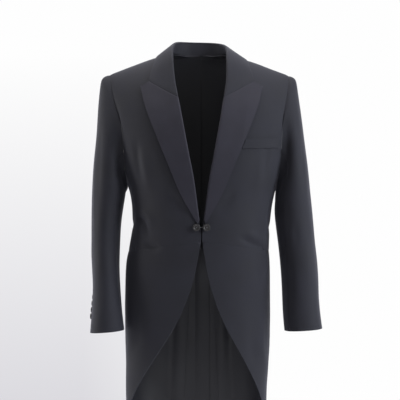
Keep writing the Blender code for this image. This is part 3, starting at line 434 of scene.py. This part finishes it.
BODY_CREASES = [
    # the right waist, drawn towards the link button
    Crease("front", 0.008, -0.0042,
           [(-0.159, -0.367), (-0.137, -0.386), (-0.128, -0.409), (-0.118, -0.425)]),
    Crease("front", 0.011, 0.0026, [(-0.148, -0.355), (-0.124, -0.376), (-0.108, -0.404)]),
    Crease("front", 0.008, -0.0040, [(-0.142, -0.434), (-0.118, -0.445), (-0.092, -0.451)]),
    Crease("front", 0.006, -0.0012, [(-0.072, -0.431), (-0.040, -0.437)]),
    Crease("front", 0.014, -0.0024, [(-0.088, -0.305), (-0.056, -0.342), (-0.027, -0.370)]),
    # the left waist
    Crease("front", 0.007, -0.0044,
           [(0.080, -0.416), (0.108, -0.431), (0.135, -0.443), (0.158, -0.449)]),
    Crease("front", 0.010, 0.0028, [(0.100, -0.408), (0.122, -0.420), (0.150, -0.428)]),
    Crease("front", 0.006, -0.0012, [(0.131, -0.480), (0.133, -0.510), (0.135, -0.540)]),
    Crease("front", 0.013, -0.0020, [(0.085, -0.300), (0.056, -0.343), (0.030, -0.368)]),
    # beside the armholes
    Crease("front", 0.010, -0.0030, [(-0.157, -0.180), (-0.151, -0.235), (-0.140, -0.300)]),
    Crease("front", 0.010, -0.0026, [(0.160, -0.175), (0.154, -0.235), (0.144, -0.300)]),
    Crease("front", 0.013, 0.0020, [(-0.146, -0.205), (-0.133, -0.265), (-0.121, -0.320)]),
    Crease("front", 0.013, 0.0018, [(0.149, -0.215), (0.139, -0.270), (0.128, -0.325)]),
    # the skirts, which hang in long soft folds
    Crease("front", 0.014, -0.0026, [(-0.150, -0.520), (-0.153, -0.670), (-0.150, -0.820)]),
    Crease("front", 0.016, 0.0016, [(-0.122, -0.490), (-0.127, -0.630), (-0.130, -0.780)]),
    Crease("front", 0.012, 0.0028, [(0.142, -0.540), (0.143, -0.690), (0.137, -0.840)]),
    Crease("front", 0.012, -0.0020, [(0.119, -0.560), (0.121, -0.700), (0.117, -0.830)]),
    # the back, the small of the back and the tails
    Crease("back", 0.010, -0.0022, [(0.130, -0.195), (0.098, -0.265), (0.074, -0.330)]),
    Crease("back", 0.011, -0.0026, [(-0.135, -0.205), (-0.105, -0.272), (-0.083, -0.345)]),
    Crease("back", 0.013, 0.0014, [(-0.120, -0.190), (-0.088, -0.255), (-0.068, -0.325)]),
    Crease("back", 0.007, -0.0018, [(0.024, -0.382), (0.050, -0.390), (0.076, -0.388)]),
    Crease("back", 0.008, -0.0020, [(-0.020, -0.370), (-0.046, -0.380), (-0.078, -0.379)]),
    Crease("back", 0.013, -0.0028, [(0.045, -0.520), (0.050, -0.700), (0.043, -0.900)]),
    Crease("back", 0.012, 0.0020, [(0.068, -0.500), (0.071, -0.720), (0.065, -0.930)]),
    Crease("back", 0.014, -0.0024, [(-0.050, -0.500), (-0.047, -0.680), (-0.055, -0.880)]),
    Crease("back", 0.012, 0.0022, [(-0.075, -0.530), (-0.078, -0.760), (-0.071, -0.950)]),
    # the sides of the waist and of the skirts
    Crease("right", 0.009, -0.0024, [(-0.060, -0.370), (-0.010, -0.395), (0.045, -0.385)]),
    Crease("left", 0.009, -0.0022, [(-0.055, -0.385), (-0.005, -0.402), (0.050, -0.393)]),
    Crease("right", 0.015, 0.0024, [(0.010, -0.490), (0.006, -0.620), (0.012, -0.760)]),
    Crease("left", 0.015, 0.0022, [(-0.006, -0.500), (0.000, -0.640), (-0.004, -0.780)]),
]


def body_panel(node, steps):
    """Make one panel of the body from its solid, with the creases that cross it."""
    piece = panel_copy(node, steps, PANEL_EDGE, BODY_MIDDLE, worsted, lining)
    points = points_of(piece)
    lay_uv(piece, body_uv(points), 2 * math.pi * BODY_ROUND)
    rise = creased(points, BODY_TREE, BODY_CREASES) + ease(points)
    for side in SIDES:
        rise -= armhole_dip(points, side)
    lift(piece, rise)
    register(piece, node)


for side in SIDES:
    body_panel("forepart_" + side, FOREPART_STEPS)


# Sidebodies: the narrow panels under the armholes, between the foreparts and the backs, down to the waist
# seam. They are the same worsted, sewn along all four sides, and give the coat its close waist.
for side in SIDES:
    body_panel("sidebody_" + side, PANEL_STEPS)


# Backs: each cut in one length of worsted from the shoulder to the hem of the tail. The centre seam joins
# them down to the vent, where the left tail laps over the right.
for side in SIDES:
    body_panel("back_" + side, PANEL_STEPS)


# Skirts: worsted, joined to the foreparts and sidebodies at the waist seam, cut away in a curve in front,
# and pleated under the backs behind. They hang free below the waist, so their folds are long and soft.
for side in SIDES:
    body_panel("skirt_" + side, PANEL_STEPS)


# Sleeves: a topsleeve and an undersleeve each, in worsted, set into the armhole with a little fullness at
# the top. They hang slightly bent, which leaves cross creases at the elbow and long ones down the sleeve.
SLEEVE_TREES = {side: solid_tree(["topsleeve_" + side, "undersleeve_" + side]) for side in SIDES}
SLEEVE_MIDDLE = {"right": (-0.225, -0.015), "left": (0.225, -0.015)}
SLEEVE_HALF_ROUND = 0.050
SLEEVE_LEVELS = 9
SLEEVE_BAND = 0.05
# Below the armhole the sleeve lies against the body, down to where it bends away. A point nearer than
# full goes all the way, past the body's surface by the press, and a point out of reach stays.
LEAN_HEIGHTS = [-0.340, -0.290, -0.165, -0.115]
LEAN_SHARES = [0.0, 1.0, 1.0, 0.0]
LEAN_REACH = 0.0105
LEAN_FULL = 0.0065
LEAN_LEAST = 0.0002
LEAN_PRESS = 0.0012
SLEEVE_CREASES = {
    "right": [
        Crease("front", 0.006, 0.0014,
               [(-0.250, -0.120), (-0.2545, -0.250), (-0.256, -0.360), (-0.252, -0.470)]),
        Crease("front", 0.008, -0.0016, [(-0.239, -0.120), (-0.243, -0.250), (-0.244, -0.380)]),
        Crease("front", 0.007, -0.0016, [(-0.203, -0.170), (-0.200, -0.240), (-0.201, -0.315)]),
        Crease("front", 0.010, 0.0016, [(-0.212, -0.210), (-0.211, -0.290), (-0.212, -0.360)]),
        Crease("front", 0.006, -0.0018, [(-0.190, -0.340), (-0.203, -0.348), (-0.217, -0.350)]),
        Crease("front", 0.007, -0.0016, [(-0.193, -0.368), (-0.208, -0.379), (-0.224, -0.382)]),
        Crease("front", 0.005, 0.0008, [(-0.211, -0.400), (-0.2105, -0.460), (-0.210, -0.520)]),
        Crease("front", 0.012, -0.0014, [(-0.238, -0.470), (-0.236, -0.540), (-0.240, -0.610)]),
        Crease("back", 0.008, -0.0026, [(-0.252, -0.330), (-0.230, -0.350), (-0.206, -0.352)]),
        Crease("back", 0.009, -0.0022, [(-0.256, -0.375), (-0.234, -0.388), (-0.212, -0.384)]),
        Crease("back", 0.012, 0.0018, [(-0.230, -0.150), (-0.236, -0.230), (-0.233, -0.310)]),
        Crease("right", 0.010, -0.0016, [(0.028, -0.180), (0.024, -0.260), (0.018, -0.340)]),
        Crease("right", 0.012, 0.0014, [(-0.012, -0.420), (-0.026, -0.490), (-0.036, -0.560)]),
    ],
    "left": [
        Crease("front", 0.007, -0.0018,
               [(0.203, -0.130), (0.205, -0.200), (0.203, -0.260), (0.202, -0.325)]),
        Crease("front", 0.012, 0.0018, [(0.218, -0.130), (0.220, -0.220), (0.215, -0.310)]),
        Crease("front", 0.008, -0.0012, [(0.238, -0.150), (0.242, -0.250), (0.244, -0.350)]),
        Crease("front", 0.006, -0.0016, [(0.221, -0.382), (0.224, -0.415), (0.227, -0.450)]),
        Crease("front", 0.006, -0.0018, [(0.190, -0.345), (0.204, -0.356), (0.220, -0.358)]),
        Crease("front", 0.007, -0.0014, [(0.193, -0.375), (0.208, -0.386), (0.222, -0.386)]),
        Crease("front", 0.010, 0.0014, [(0.250, -0.390), (0.256, -0.480), (0.258, -0.570)]),
        Crease("front", 0.010, -0.0014, [(0.209, -0.460), (0.213, -0.530), (0.218, -0.600)]),
        Crease("back", 0.008, -0.0024, [(0.255, -0.340), (0.234, -0.358), (0.210, -0.360)]),
        Crease("back", 0.009, -0.0020, [(0.260, -0.385), (0.240, -0.396), (0.218, -0.393)]),
        Crease("back", 0.012, 0.0016, [(0.228, -0.160), (0.235, -0.240), (0.233, -0.320)]),
        Crease("left", 0.010, -0.0014, [(0.025, -0.170), (0.022, -0.250), (0.016, -0.330)]),
        Crease("left", 0.012, 0.0014, [(-0.010, -0.430), (-0.024, -0.500), (-0.034, -0.570)]),
    ],
}


def sleeve_uv(points, side):
    """Return each point's place round the sleeve and its height."""
    solid = np.array([vertex.co for part in SLEEVE_PARTS
                      for vertex in bpy.data.objects[part + side].data.vertices])
    heights = np.linspace(solid[:, 2].min(), solid[:, 2].max(), SLEEVE_LEVELS)
    middles = []
    for height in heights:
        near = solid[np.abs(solid[:, 2] - height) < SLEEVE_BAND]
        middles.append((near.min(axis=0) + near.max(axis=0)) / 2)
    middles = np.array(middles)
    x = points[:, 0] - np.interp(points[:, 2], heights, middles[:, 0])
    y = points[:, 1] - np.interp(points[:, 2], heights, middles[:, 1])
    return np.stack([np.arctan2(y, x * SIGN[side]) * SLEEVE_HALF_ROUND, points[:, 2]], 1)


def leant(points):
    """Return how the sleeve's weight moves each of its points towards the body beside it."""
    moves = np.zeros_like(points)
    for index in np.nonzero(np.interp(points[:, 2], LEAN_HEIGHTS, LEAN_SHARES) > 0)[0]:
        met, _, _, away = BODY_TREE.find_nearest(Vector(points[index]), LEAN_REACH)
        if met is not None and away > LEAN_LEAST:
            share = min(1.0, (LEAN_REACH - away) / (LEAN_REACH - LEAN_FULL))
            share *= np.interp(points[index][2], LEAN_HEIGHTS, LEAN_SHARES)
            moves[index] = (np.array(met) - points[index]) * (away + LEAN_PRESS) / away * share
    return moves


for side in SIDES:
    for part in SLEEVE_PARTS:
        piece = panel_copy(part + side, PANEL_STEPS, PANEL_EDGE, SLEEVE_MIDDLE[side], worsted, lining)
        points = points_of(piece)
        lay_uv(piece, sleeve_uv(points, side), 2 * math.pi * SLEEVE_HALF_ROUND)
        rise = creased(points, SLEEVE_TREES[side], SLEEVE_CREASES[side]) + ease(points)
        lift(piece, rise - armhole_dip(points, side))
        points = points_of(piece)
        put_points(piece, points + leant(points))
        register(piece, part + side)


# Lapels: the peaked fronts, turned back on the roll line from the link button to the collar. Worsted on
# both faces over canvas, so they spring a little off the chest along their outer edge and cast a shadow.
FOLD_EDGE = 0.0009
FOLD_STEPS = 3
FOLD_EASE = 0.5
LAPEL_SLANT = math.radians(74)
LAPEL_SPRING = 0.0022
LAPEL_SPRING_ACROSS = [0.012, 0.060]
LAPEL_SPRING_HEIGHTS = [-0.385, -0.330, -0.200, -0.120, -0.085, -0.060]
LAPEL_SPRING_SHARES = [0.0, 0.8, 1.0, 0.7, 0.1, 0.0]
LAPEL_SPRING_BEND = 1.5
ROLL_LINE_PLACES = 14
ROLL_LINE_BAND = 0.020
ROLL_LINE_BELOW_TOP = 0.03
ROLL_LINE_APART = 0.001
# Lapel worsted: the same twill, laid along the lapel's edge and ironed, in a lighter colour than the body's
# worsted: painted light for the turned lapels, which catch more light
facing = woven("pressed_worsted", dark="#131217", light="#1c1b21", line_spacing=0.0012, line_angle=40,
               roughness=0.72, specular=0.09, sheen=0.07, relief=0.30)


def roll_line(side):
    """Return the path of the roll line: the inner edge of a lapel's solid, from top to bottom."""
    solid = np.array([vertex.co for vertex in bpy.data.objects["lapel_" + side].data.vertices])
    path = []
    for height in np.linspace(solid[:, 2].max() - ROLL_LINE_BELOW_TOP, solid[:, 2].min(), ROLL_LINE_PLACES):
        near = solid[np.abs(solid[:, 2] - height) < ROLL_LINE_BAND]
        path.append(near[np.argmin(near[:, 0] * SIGN[side])])
    kept = [place for place, after in zip(path, path[1:]) if np.linalg.norm(after - place) > ROLL_LINE_APART]
    return np.array(kept + path[-1:])


for side in SIDES:
    piece = panel_copy("lapel_" + side, FOLD_STEPS, FOLD_EDGE, BODY_MIDDLE, facing, worsted)
    points = points_of(piece)
    along = points[:, 2] * math.sin(LAPEL_SLANT) - points[:, 0] * SIGN[side] * math.cos(LAPEL_SLANT)
    across = points[:, 0] * SIGN[side] * math.sin(LAPEL_SLANT) + points[:, 2] * math.cos(LAPEL_SLANT)
    lay_uv(piece, np.stack([across, along], 1), 1.0)
    turned = np.interp(near_path(points, roll_line(side))[0], LAPEL_SPRING_ACROSS, [0, 1])
    spring = LAPEL_SPRING * turned ** LAPEL_SPRING_BEND
    spring *= np.interp(points[:, 2], LAPEL_SPRING_HEIGHTS, LAPEL_SPRING_SHARES)
    lift(piece, spring + FOLD_EASE * ease(points))
    register(piece, "lapel_" + side)


# Collar: a stand round the neckline and a fall turned down over it, in the same worsted on melton. The
# fall meets each lapel at the gorge seam and leaves it at the notch.
COLLAR_ROUND = 0.080
COLLAR_EASE = 0.6
Collar = namedtuple("Collar", "node cut area held rests_on")
COLLAR = [
    Collar("collar_stand", (0.030, 0.240), 0.0065, "hung", ["back_right", "back_left"]),
    Collar("collar_fall", (0.085, 0.420), 0.0286, "folded", ["collar_stand"]),
]
for part in COLLAR:
    piece = panel_copy(part.node, FOLD_STEPS, FOLD_EDGE, BODY_MIDDLE, worsted, worsted)
    points = points_of(piece)
    turn = np.arctan2(points[:, 0], points[:, 1])
    out = np.hypot(points[:, 0], points[:, 1])
    lay_uv(piece, np.stack([turn * COLLAR_ROUND, points[:, 2] - out], 1), 2 * math.pi * COLLAR_ROUND)
    lift(piece, COLLAR_EASE * ease(points))
    register(piece, part.node)


# Breast pocket welt: a folded strip of worsted on the left chest, sewn down at its two ends and along
# its lower edge, with the pocket mouth open behind its upper edge.
# Its lower edge is sewn flat and its upper edge stands off: the rise at these heights above its lowest point
WELT_RISE_UP = [0.0, 0.008, 0.022]
WELT_RISE = [-0.0014, -0.0006, 0.0004]
piece = panel_copy("breast_welt", FOLD_STEPS, FOLD_EDGE, BODY_MIDDLE, worsted, worsted)
points = points_of(piece)
lay_uv(piece, body_uv(points), 2 * math.pi * BODY_ROUND)
rise = np.interp(points[:, 2] - points[:, 2].min(), WELT_RISE_UP, WELT_RISE)
lift(piece, rise + FOLD_EASE * ease(points))
register(piece, "breast_welt")


# Seams: the edges that a tailor sews to each other are drawn together, so that no light passes between
# them, and the pressed seam sinks a little below the cloth on both sides.
CLOTH_SMOOTH = math.radians(50)
SEAM_DEPTH = 0.0005
SEAM_LAP = 0.0003
SEAM_REACH = 0.0016
ARMHOLE_REACH = 0.0080
GORGE_REACH = 0.0010
SEAM_FADE = 2.5 * PANEL_EDGE
ON_RIM = 0.999
FAR_FROM_RIM = 0.02
# Two panels that are sewn together, and how far apart their edges may lie
SEAMS = [("back_right", "back_left", SEAM_REACH), ("collar_fall", "collar_stand", GORGE_REACH),
         ("collar_stand", "back_right", SEAM_REACH), ("collar_stand", "back_left", SEAM_REACH)]
for side in SIDES:
    for first, second in (("forepart_", "sidebody_"), ("forepart_", "back_"), ("forepart_", "skirt_"),
                          ("sidebody_", "back_"), ("sidebody_", "skirt_"), ("forepart_", "lapel_"),
                          ("topsleeve_", "undersleeve_")):
        SEAMS.append((first + side, second + side, SEAM_REACH))
    for panel in ARMHOLE_PARTS:
        for sleeve in SLEEVE_PARTS:
            SEAMS.append((panel + side, sleeve + side, ARMHOLE_REACH))
    SEAMS.append(("collar_fall", "lapel_" + side, GORGE_REACH))
    SEAMS.append(("collar_stand", "forepart_" + side, SEAM_REACH))


def rim_of(piece):
    """Return which points of a piece lie on its narrow rim, and a search tree of the rim's faces."""
    on_rim = kept_values(piece, "near_edge") > ON_RIM
    faces = [list(face.vertices) for face in piece.data.polygons if on_rim[list(face.vertices)].all()]
    return on_rim, BVHTree.FromPolygons([Vector(place) for place in points_of(piece)], faces)


panels = {piece.name[:-len("_cloth")]: piece for piece in bpy.data.objects if piece.name.endswith("_cloth")}
rims = {node: rim_of(piece) for node, piece in panels.items()}
# For each rim point, by the reach of its kind of seam: how far away its partner is, and the way to it
pulls = {node: {} for node in panels}
for first, second, reach in SEAMS:
    for node, partner in ((first, second), (second, first)):
        points = points_of(panels[node])
        for index in np.nonzero(rims[node][0])[0]:
            place = Vector(points[index])
            met, _, _, away = rims[partner][1].find_nearest(place, reach)
            if met is None:
                continue
            ways = pulls[node].setdefault(index, {})
            if away < ways.get(reach, (1, None))[0]:
                way = met - place
                ways[reach] = (away, way / 2 + way.normalized() * SEAM_LAP)
for node, pulled in pulls.items():
    if not pulled:
        continue
    points = points_of(panels[node])
    near_edge = kept_values(panels[node], "near_edge")
    outward = kept_values(panels[node], "outward")
    tree = KDTree(len(pulled))
    for index in pulled:
        tree.insert(points[index], int(index))
    tree.balance()
    moved = points.copy()
    for index in np.nonzero(near_edge > FAR_FROM_RIM)[0]:
        _, nearest, away = tree.find(points[index])
        if away < SEAM_FADE:
            pull = sum((np.array(way) for _, way in pulled[nearest].values()), -outward[index] * SEAM_DEPTH)
            moved[index] += pull * near_edge[index] * (1 - away / SEAM_FADE)
    put_points(panels[node], moved)
for piece in panels.values():
    for name in ("outward", "near_edge"):
        piece.data.attributes.remove(piece.data.attributes[name])
    select_only(piece)
    bpy.ops.object.shade_smooth_by_angle(angle=CLOTH_SMOOTH)


# Buttons: four-hole horn buttons, turned and dished, each sewn on a wound thread shank. Two are linked at
# the front, two stand at the back waist over the side pleats, and four stand at each cuff.
BLANK_ACROSS = 0.0170
BLANK_THICK = 0.2 * BLANK_ACROSS
BLANK_RIM = 0.0026
BLANK_EDGE = 0.0006
DISH_DEPTH = 0.0007
BACK_DOME = 0.0002
HOLE_ACROSS = 0.0018
HOLE_OFFSET = 0.0024
THREAD_THICK = 0.0009
THREAD_SINK = 0.0016
SHANK_LONG = 0.0034
SHANK_RADIUS = 0.11 * BLANK_ACROSS
SHANK_ENTRY = 0.0004
SHANK_TURNS = 5
SHANK_RELIEF = 0.08
HORN_SMOOTH = math.radians(35)
THREAD_SPACING = 0.0004


def polished_horn():
    """Return the material of the buttons."""
    made = bpy.data.materials.new("polished_horn")
    made.use_nodes = True
    tree = made.node_tree
    shader = tree.nodes["Principled BSDF"]
    place = add_node(tree, "ShaderNodeTexCoord")
    stretched = add_node(tree, "ShaderNodeMapping", {"Scale": (1, 1, 3)}, {"Vector": (place, "Object")})
    streaks = add_node(tree, "ShaderNodeTexNoise", {"Scale": 260.0, "Detail": 3.0},
                       {"Vector": (stretched, "Vector")})
    ramp = add_node(tree, "ShaderNodeValToRGB", {}, {"Fac": (streaks, "Fac")})
    ramp.color_ramp.elements[0].position = 0.35
    ramp.color_ramp.elements[0].color = linear("#080708")
    ramp.color_ramp.elements[1].position = 0.75
    ramp.color_ramp.elements[1].color = linear("#141110")
    rough = add_node(tree, "ShaderNodeMapRange", {"To Min": 0.36, "To Max": 0.46},
                     {"Value": (streaks, "Fac")})
    tree.links.new(ramp.outputs["Color"], shader.inputs["Base Color"])
    tree.links.new(rough.outputs["Result"], shader.inputs["Roughness"])
    shader.inputs["IOR"].default_value = 1.55
    shader.inputs["Specular IOR Level"].default_value = 0.24
    return made


def wound_thread():
    """Return the material of the button thread and the link."""
    made = bpy.data.materials.new("silk_thread")
    made.use_nodes = True
    tree = made.node_tree
    shader = tree.nodes["Principled BSDF"]
    place = add_node(tree, "ShaderNodeTexCoord")
    turns = add_node(tree, "ShaderNodeTexWave", {"Scale": WAVE_LENGTH / THREAD_SPACING, "Distortion": 1.0},
                     {"Vector": (place, "Object")})
    # Each turn is painted lighter on its crest and darker in its groove: painted highlight and painted shade
    ramp = add_node(tree, "ShaderNodeValToRGB", {}, {"Fac": (turns, "Fac")})
    ramp.color_ramp.elements[0].color = linear("#121114")
    ramp.color_ramp.elements[1].color = linear("#2a292e")
    bump = add_node(tree, "ShaderNodeBump", {"Strength": 0.5, "Distance": 0.0001}, {"Height": (turns, "Fac")})
    tree.links.new(ramp.outputs["Color"], shader.inputs["Base Color"])
    tree.links.new(bump.outputs["Normal"], shader.inputs["Normal"])
    shader.inputs["Roughness"].default_value = 0.5
    return made


# Buffalo horn, turned and polished: near black with brown streaks about 4 mm long, and a clear gloss
horn = polished_horn()
# Twisted silk buttonhole thread, 0.4 mm from turn to turn: dark, each turn painted lighter along its crest
# and darker in its groove (painted highlight and painted shade) over its bump, with a soft gloss
thread = wound_thread()


def select_faces(piece, wanted):
    """In edit mode, select only the faces whose direction passes a test."""
    made = bmesh.from_edit_mesh(piece.data)
    made.select_mode = {"FACE"}
    for face in made.faces:
        face.select_set(False)
    for face in made.faces:
        if wanted(face.normal):
            face.select_set(True)
    bmesh.update_edit_mesh(piece.data)


def joined(pieces):
    """Join pieces into the first of them, with its place applied, and return it."""
    bpy.ops.object.select_all(action="DESELECT")
    for piece in pieces:
        piece.select_set(True)
    bpy.context.view_layer.objects.active = pieces[0]
    bpy.ops.object.join()
    bpy.ops.object.transform_apply(location=True, rotation=True, scale=True)
    return pieces[0]


def turned_blank():
    """Model one button on the origin, with its back at height 0, its holes bored and its thread sewn."""
    bpy.ops.object.select_all(action="DESELECT")
    bpy.ops.mesh.primitive_cylinder_add(vertices=48, radius=BLANK_ACROSS / 2, depth=BLANK_THICK,
                                        location=(0, 0, BLANK_THICK / 2))
    blank = bpy.context.object
    bpy.ops.object.mode_set(mode="EDIT")
    select_faces(blank, lambda way: way.z > 0.9)
    bpy.ops.mesh.inset(thickness=BLANK_RIM)
    bpy.ops.mesh.inset(thickness=DISH_DEPTH)
    bpy.ops.transform.translate(value=(0, 0, -DISH_DEPTH))
    select_faces(blank, lambda way: way.z < -0.9)
    bpy.ops.mesh.inset(thickness=BLANK_RIM / 2)
    bpy.ops.transform.translate(value=(0, 0, -BACK_DOME))
    bpy.ops.object.mode_set(mode="OBJECT")
    rounded = blank.modifiers.new("rounded", "BEVEL")
    rounded.width = BLANK_EDGE
    rounded.segments = 3
    rounded.limit_method = "ANGLE"
    rounded.angle_limit = math.radians(30)
    apply_modifier(blank, "rounded")
    drills = []
    for step in range(4):
        angle = math.pi / 4 + step * math.pi / 2
        bpy.ops.mesh.primitive_cylinder_add(vertices=16, radius=HOLE_ACROSS / 2, depth=3 * BLANK_THICK,
                                            location=(HOLE_OFFSET * math.cos(angle),
                                                      HOLE_OFFSET * math.sin(angle), 0))
        drills.append(bpy.context.object)
    drill = joined(drills)
    bored = blank.modifiers.new("bored", "BOOLEAN")
    bored.operation = "DIFFERENCE"
    bored.object = drill
    apply_modifier(blank, "bored")
    bpy.data.objects.remove(drill)
    blank.data.materials.clear()
    blank.data.materials.append(horn)
    sewn = []
    for turn in (math.pi / 4, -math.pi / 4):
        bpy.ops.mesh.primitive_torus_add(major_radius=HOLE_OFFSET, minor_radius=THREAD_THICK / 2,
                                         major_segments=24, minor_segments=8, rotation=(math.pi / 2, 0, turn),
                                         location=(0, 0, BLANK_THICK - DISH_DEPTH - THREAD_SINK))
        sewn.append(bpy.context.object)
    bpy.ops.mesh.primitive_cylinder_add(vertices=20, radius=SHANK_RADIUS, depth=SHANK_LONG,
                                        location=(0, 0, SHANK_ENTRY - SHANK_LONG / 2))
    shank = bpy.context.object
    bpy.ops.object.mode_set(mode="EDIT")
    select_faces(shank, lambda way: abs(way.z) < 0.5)
    bpy.ops.mesh.subdivide(number_cuts=4)
    bpy.ops.object.mode_set(mode="OBJECT")
    for vertex in shank.data.vertices:
        wound = 1 + SHANK_RELIEF * math.cos(vertex.co.z / SHANK_LONG * 2 * SHANK_TURNS * math.pi)
        vertex.co.x *= wound
        vertex.co.y *= wound
    sewn.append(shank)
    stitches = joined(sewn)
    stitches.data.materials.clear()
    stitches.data.materials.append(thread)
    made = joined([blank, stitches])
    bpy.ops.object.shade_smooth_by_angle(angle=HORN_SMOOTH)
    return made


def button_place(node):
    """Return the matrix that puts the blank where a button's solid is, at that button's size."""
    solid = np.array([vertex.co for vertex in bpy.data.objects[node].data.vertices])
    middle = solid.mean(axis=0)
    axis = Vector(np.linalg.svd(solid - middle, full_matrices=False)[2][2])
    beneath = min((tree.find_nearest(Vector(middle)) for tree in (BODY_TREE, *SLEEVE_TREES.values())),
                  key=lambda found: found[3])[0]
    if axis.dot(Vector(middle) - beneath) < 0:
        axis.negate()
    along = (solid - middle) @ np.array(axis)
    size = 2 * np.linalg.norm(solid - middle - along[:, None] * np.array(axis), axis=1).max() / BLANK_ACROSS
    placed = axis.to_track_quat("Z", "Y").to_matrix().to_4x4()
    placed.translation = Vector(middle) + axis * float(along.max() - BLANK_THICK * size)
    return placed @ Matrix.Scale(float(size), 4)


BUTTON_NODES = ["front_button_" + side for side in SIDES] + ["back_button_" + side for side in SIDES]
BUTTON_NODES += [f"cuff_button_{side}_{number}" for side in SIDES for number in range(1, 5)]
blank = turned_blank()
for node in BUTTON_NODES:
    mesh = blank.data.copy()
    mesh.transform(button_place(node))
    mesh.update()
    button = bpy.data.objects.new(node + "_horn", mesh)
    bpy.context.scene.collection.objects.link(button)
    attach(button, "root")
    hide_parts(node)
bpy.data.objects.remove(blank)


# Link: two strands of thread wound round each other between the shanks of the front buttons, through
# the buttonholes of both fronts. It holds the fronts edge to edge.
STRAND_THICK = 0.0009
LINK_ENTRY = 0.001
LINK_TURNS = 2.5
LINK_STEPS = 60
link_low, link_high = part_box("front_link")
link_long = link_high[0] - link_low[0] + 2 * LINK_ENTRY
strands = []
for offset in (-STRAND_THICK / 2, STRAND_THICK / 2):
    bpy.ops.object.select_all(action="DESELECT")
    bpy.ops.mesh.primitive_circle_add(vertices=12, radius=STRAND_THICK / 2, rotation=(0, math.pi / 2, 0),
                                      location=(-link_long / 2, offset, 0))
    strands.append(bpy.context.object)
link = joined(strands)
bpy.context.scene.cursor.location = (0, 0, 0)
bpy.ops.object.origin_set(type="ORIGIN_CURSOR")
twist = link.modifiers.new("twist", "SCREW")
twist.axis = "X"
twist.screw_offset = link_long
twist.angle = LINK_TURNS * 2 * math.pi
twist.steps = LINK_STEPS
twist.render_steps = LINK_STEPS
apply_modifier(link, "twist")
bpy.ops.object.mode_set(mode="EDIT")
bpy.ops.mesh.select_all(action="SELECT")
bpy.ops.mesh.fill_holes(sides=0)
bpy.ops.mesh.select_all(action="SELECT")
bpy.ops.mesh.normals_make_consistent(inside=False)
bpy.ops.object.mode_set(mode="OBJECT")
link.data.transform(Matrix.Translation((Vector(link_low) + Vector(link_high)) / 2))
bpy.ops.object.shade_smooth_by_angle(angle=CLOTH_SMOOTH)
link.name = "front_link_thread"
link.data.materials.clear()
link.data.materials.append(thread)
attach(link, "root")
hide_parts("front_link")


# Studio: a pale floor under the hanging coat, a pale surround that is greyer low beside its right sleeve, a
# painted shadow of the coat on the wall behind, and large soft lamps: the key from the coat's left, a strip
# beside its right sleeve, and one above.
FLOOR_RADIUS = 1.6
FLOOR_HEIGHT = -1.30
bpy.ops.object.select_all(action="DESELECT")
bpy.ops.mesh.primitive_circle_add(vertices=96, radius=FLOOR_RADIUS, fill_type="NGON",
                                  location=(0, 0, FLOOR_HEIGHT))
floor = bpy.context.object
floor.name = "studio_floor"
bpy.ops.object.transform_apply(location=True)
paper = bpy.data.materials.new("studio_paper")
paper.use_nodes = True
paper.node_tree.nodes["Principled BSDF"].inputs["Base Color"].default_value = linear("#f2f2f6")
paper.node_tree.nodes["Principled BSDF"].inputs["Roughness"].default_value = 0.9
floor.data.materials.append(paper)

world = bpy.data.worlds.new("studio")
bpy.context.scene.world = world
bpy.context.scene.view_settings.view_transform = "Standard"
world.use_nodes = True
surround = world.node_tree
direction = add_node(surround, "ShaderNodeTexCoord")
split = add_node(surround, "ShaderNodeSeparateXYZ", {}, {"Vector": (direction, "Generated")})
# The surround is painted greyer low beside the coat's right sleeve: a painted shadow of the coat on the wall
# behind it
to_right = add_node(surround, "ShaderNodeMapRange", {"From Min": 0.05, "From Max": -0.08},
                    {"Value": (split, "X")})
low_down = add_node(surround, "ShaderNodeMapRange", {"From Min": 0.10, "From Max": -0.14},
                    {"Value": (split, "Z")})
painted_shadow = add_node(surround, "ShaderNodeMath", {"operation": "MULTIPLY"},
                  {0: (to_right, "Result"), 1: (low_down, "Result")})
pale = add_node(surround, "ShaderNodeValToRGB", {}, {"Fac": (painted_shadow, "Value")})
pale.color_ramp.elements[0].color = linear("#fefefe")
pale.color_ramp.elements[1].color = linear("#dbdadf")
background = surround.nodes["Background"]
surround.links.new(pale.outputs["Color"], background.inputs["Color"])
background.inputs["Strength"].default_value = 1.0


def softbox(name, place, aim, width, height, watts, tint):
    """Add a large rectangular lamp that faces a point."""
    lamp = bpy.data.lights.new(name, "AREA")
    lamp.shape = "RECTANGLE"
    lamp.size = width
    lamp.size_y = height
    lamp.energy = watts
    lamp.color = linear(tint)[:3]
    holder = bpy.data.objects.new(name, lamp)
    holder.location = place
    holder.rotation_euler = (Vector(aim) - Vector(place)).to_track_quat("-Z", "Y").to_euler()
    bpy.context.scene.collection.objects.link(holder)


softbox("key_softbox", (2.6, -1.3, 0.5), aim=(0, 0, -0.45), width=1.2, height=2.2, watts=245, tint="#f0f6ff")
softbox("strip_softbox", (-2.3, 0.1, 0.1), aim=(0, 0, -0.35), width=0.6, height=2.2, watts=90, tint="#ffffff")
softbox("top_softbox", (0, 0.15, 1.9), aim=(0, 0.05, -0.1), width=2.0, height=1.0, watts=110, tint="#fffdff")

# The camera looks straight at the front, from 3.5 m, and sees this far to each side at the coat's middle
CAMERA_PLACE = (-0.0036, -3.5, -0.334)
SEEN_ASIDE = 0.484
lens = bpy.data.cameras.new("camera")
lens.sensor_width = 36.0
lens.lens = lens.sensor_width / 2 / (SEEN_ASIDE / -CAMERA_PLACE[1])
camera = bpy.data.objects.new("camera", lens)
camera.location = CAMERA_PLACE
camera.rotation_euler = (math.pi / 2, 0, 0)
bpy.context.scene.collection.objects.link(camera)
bpy.context.scene.camera = camera
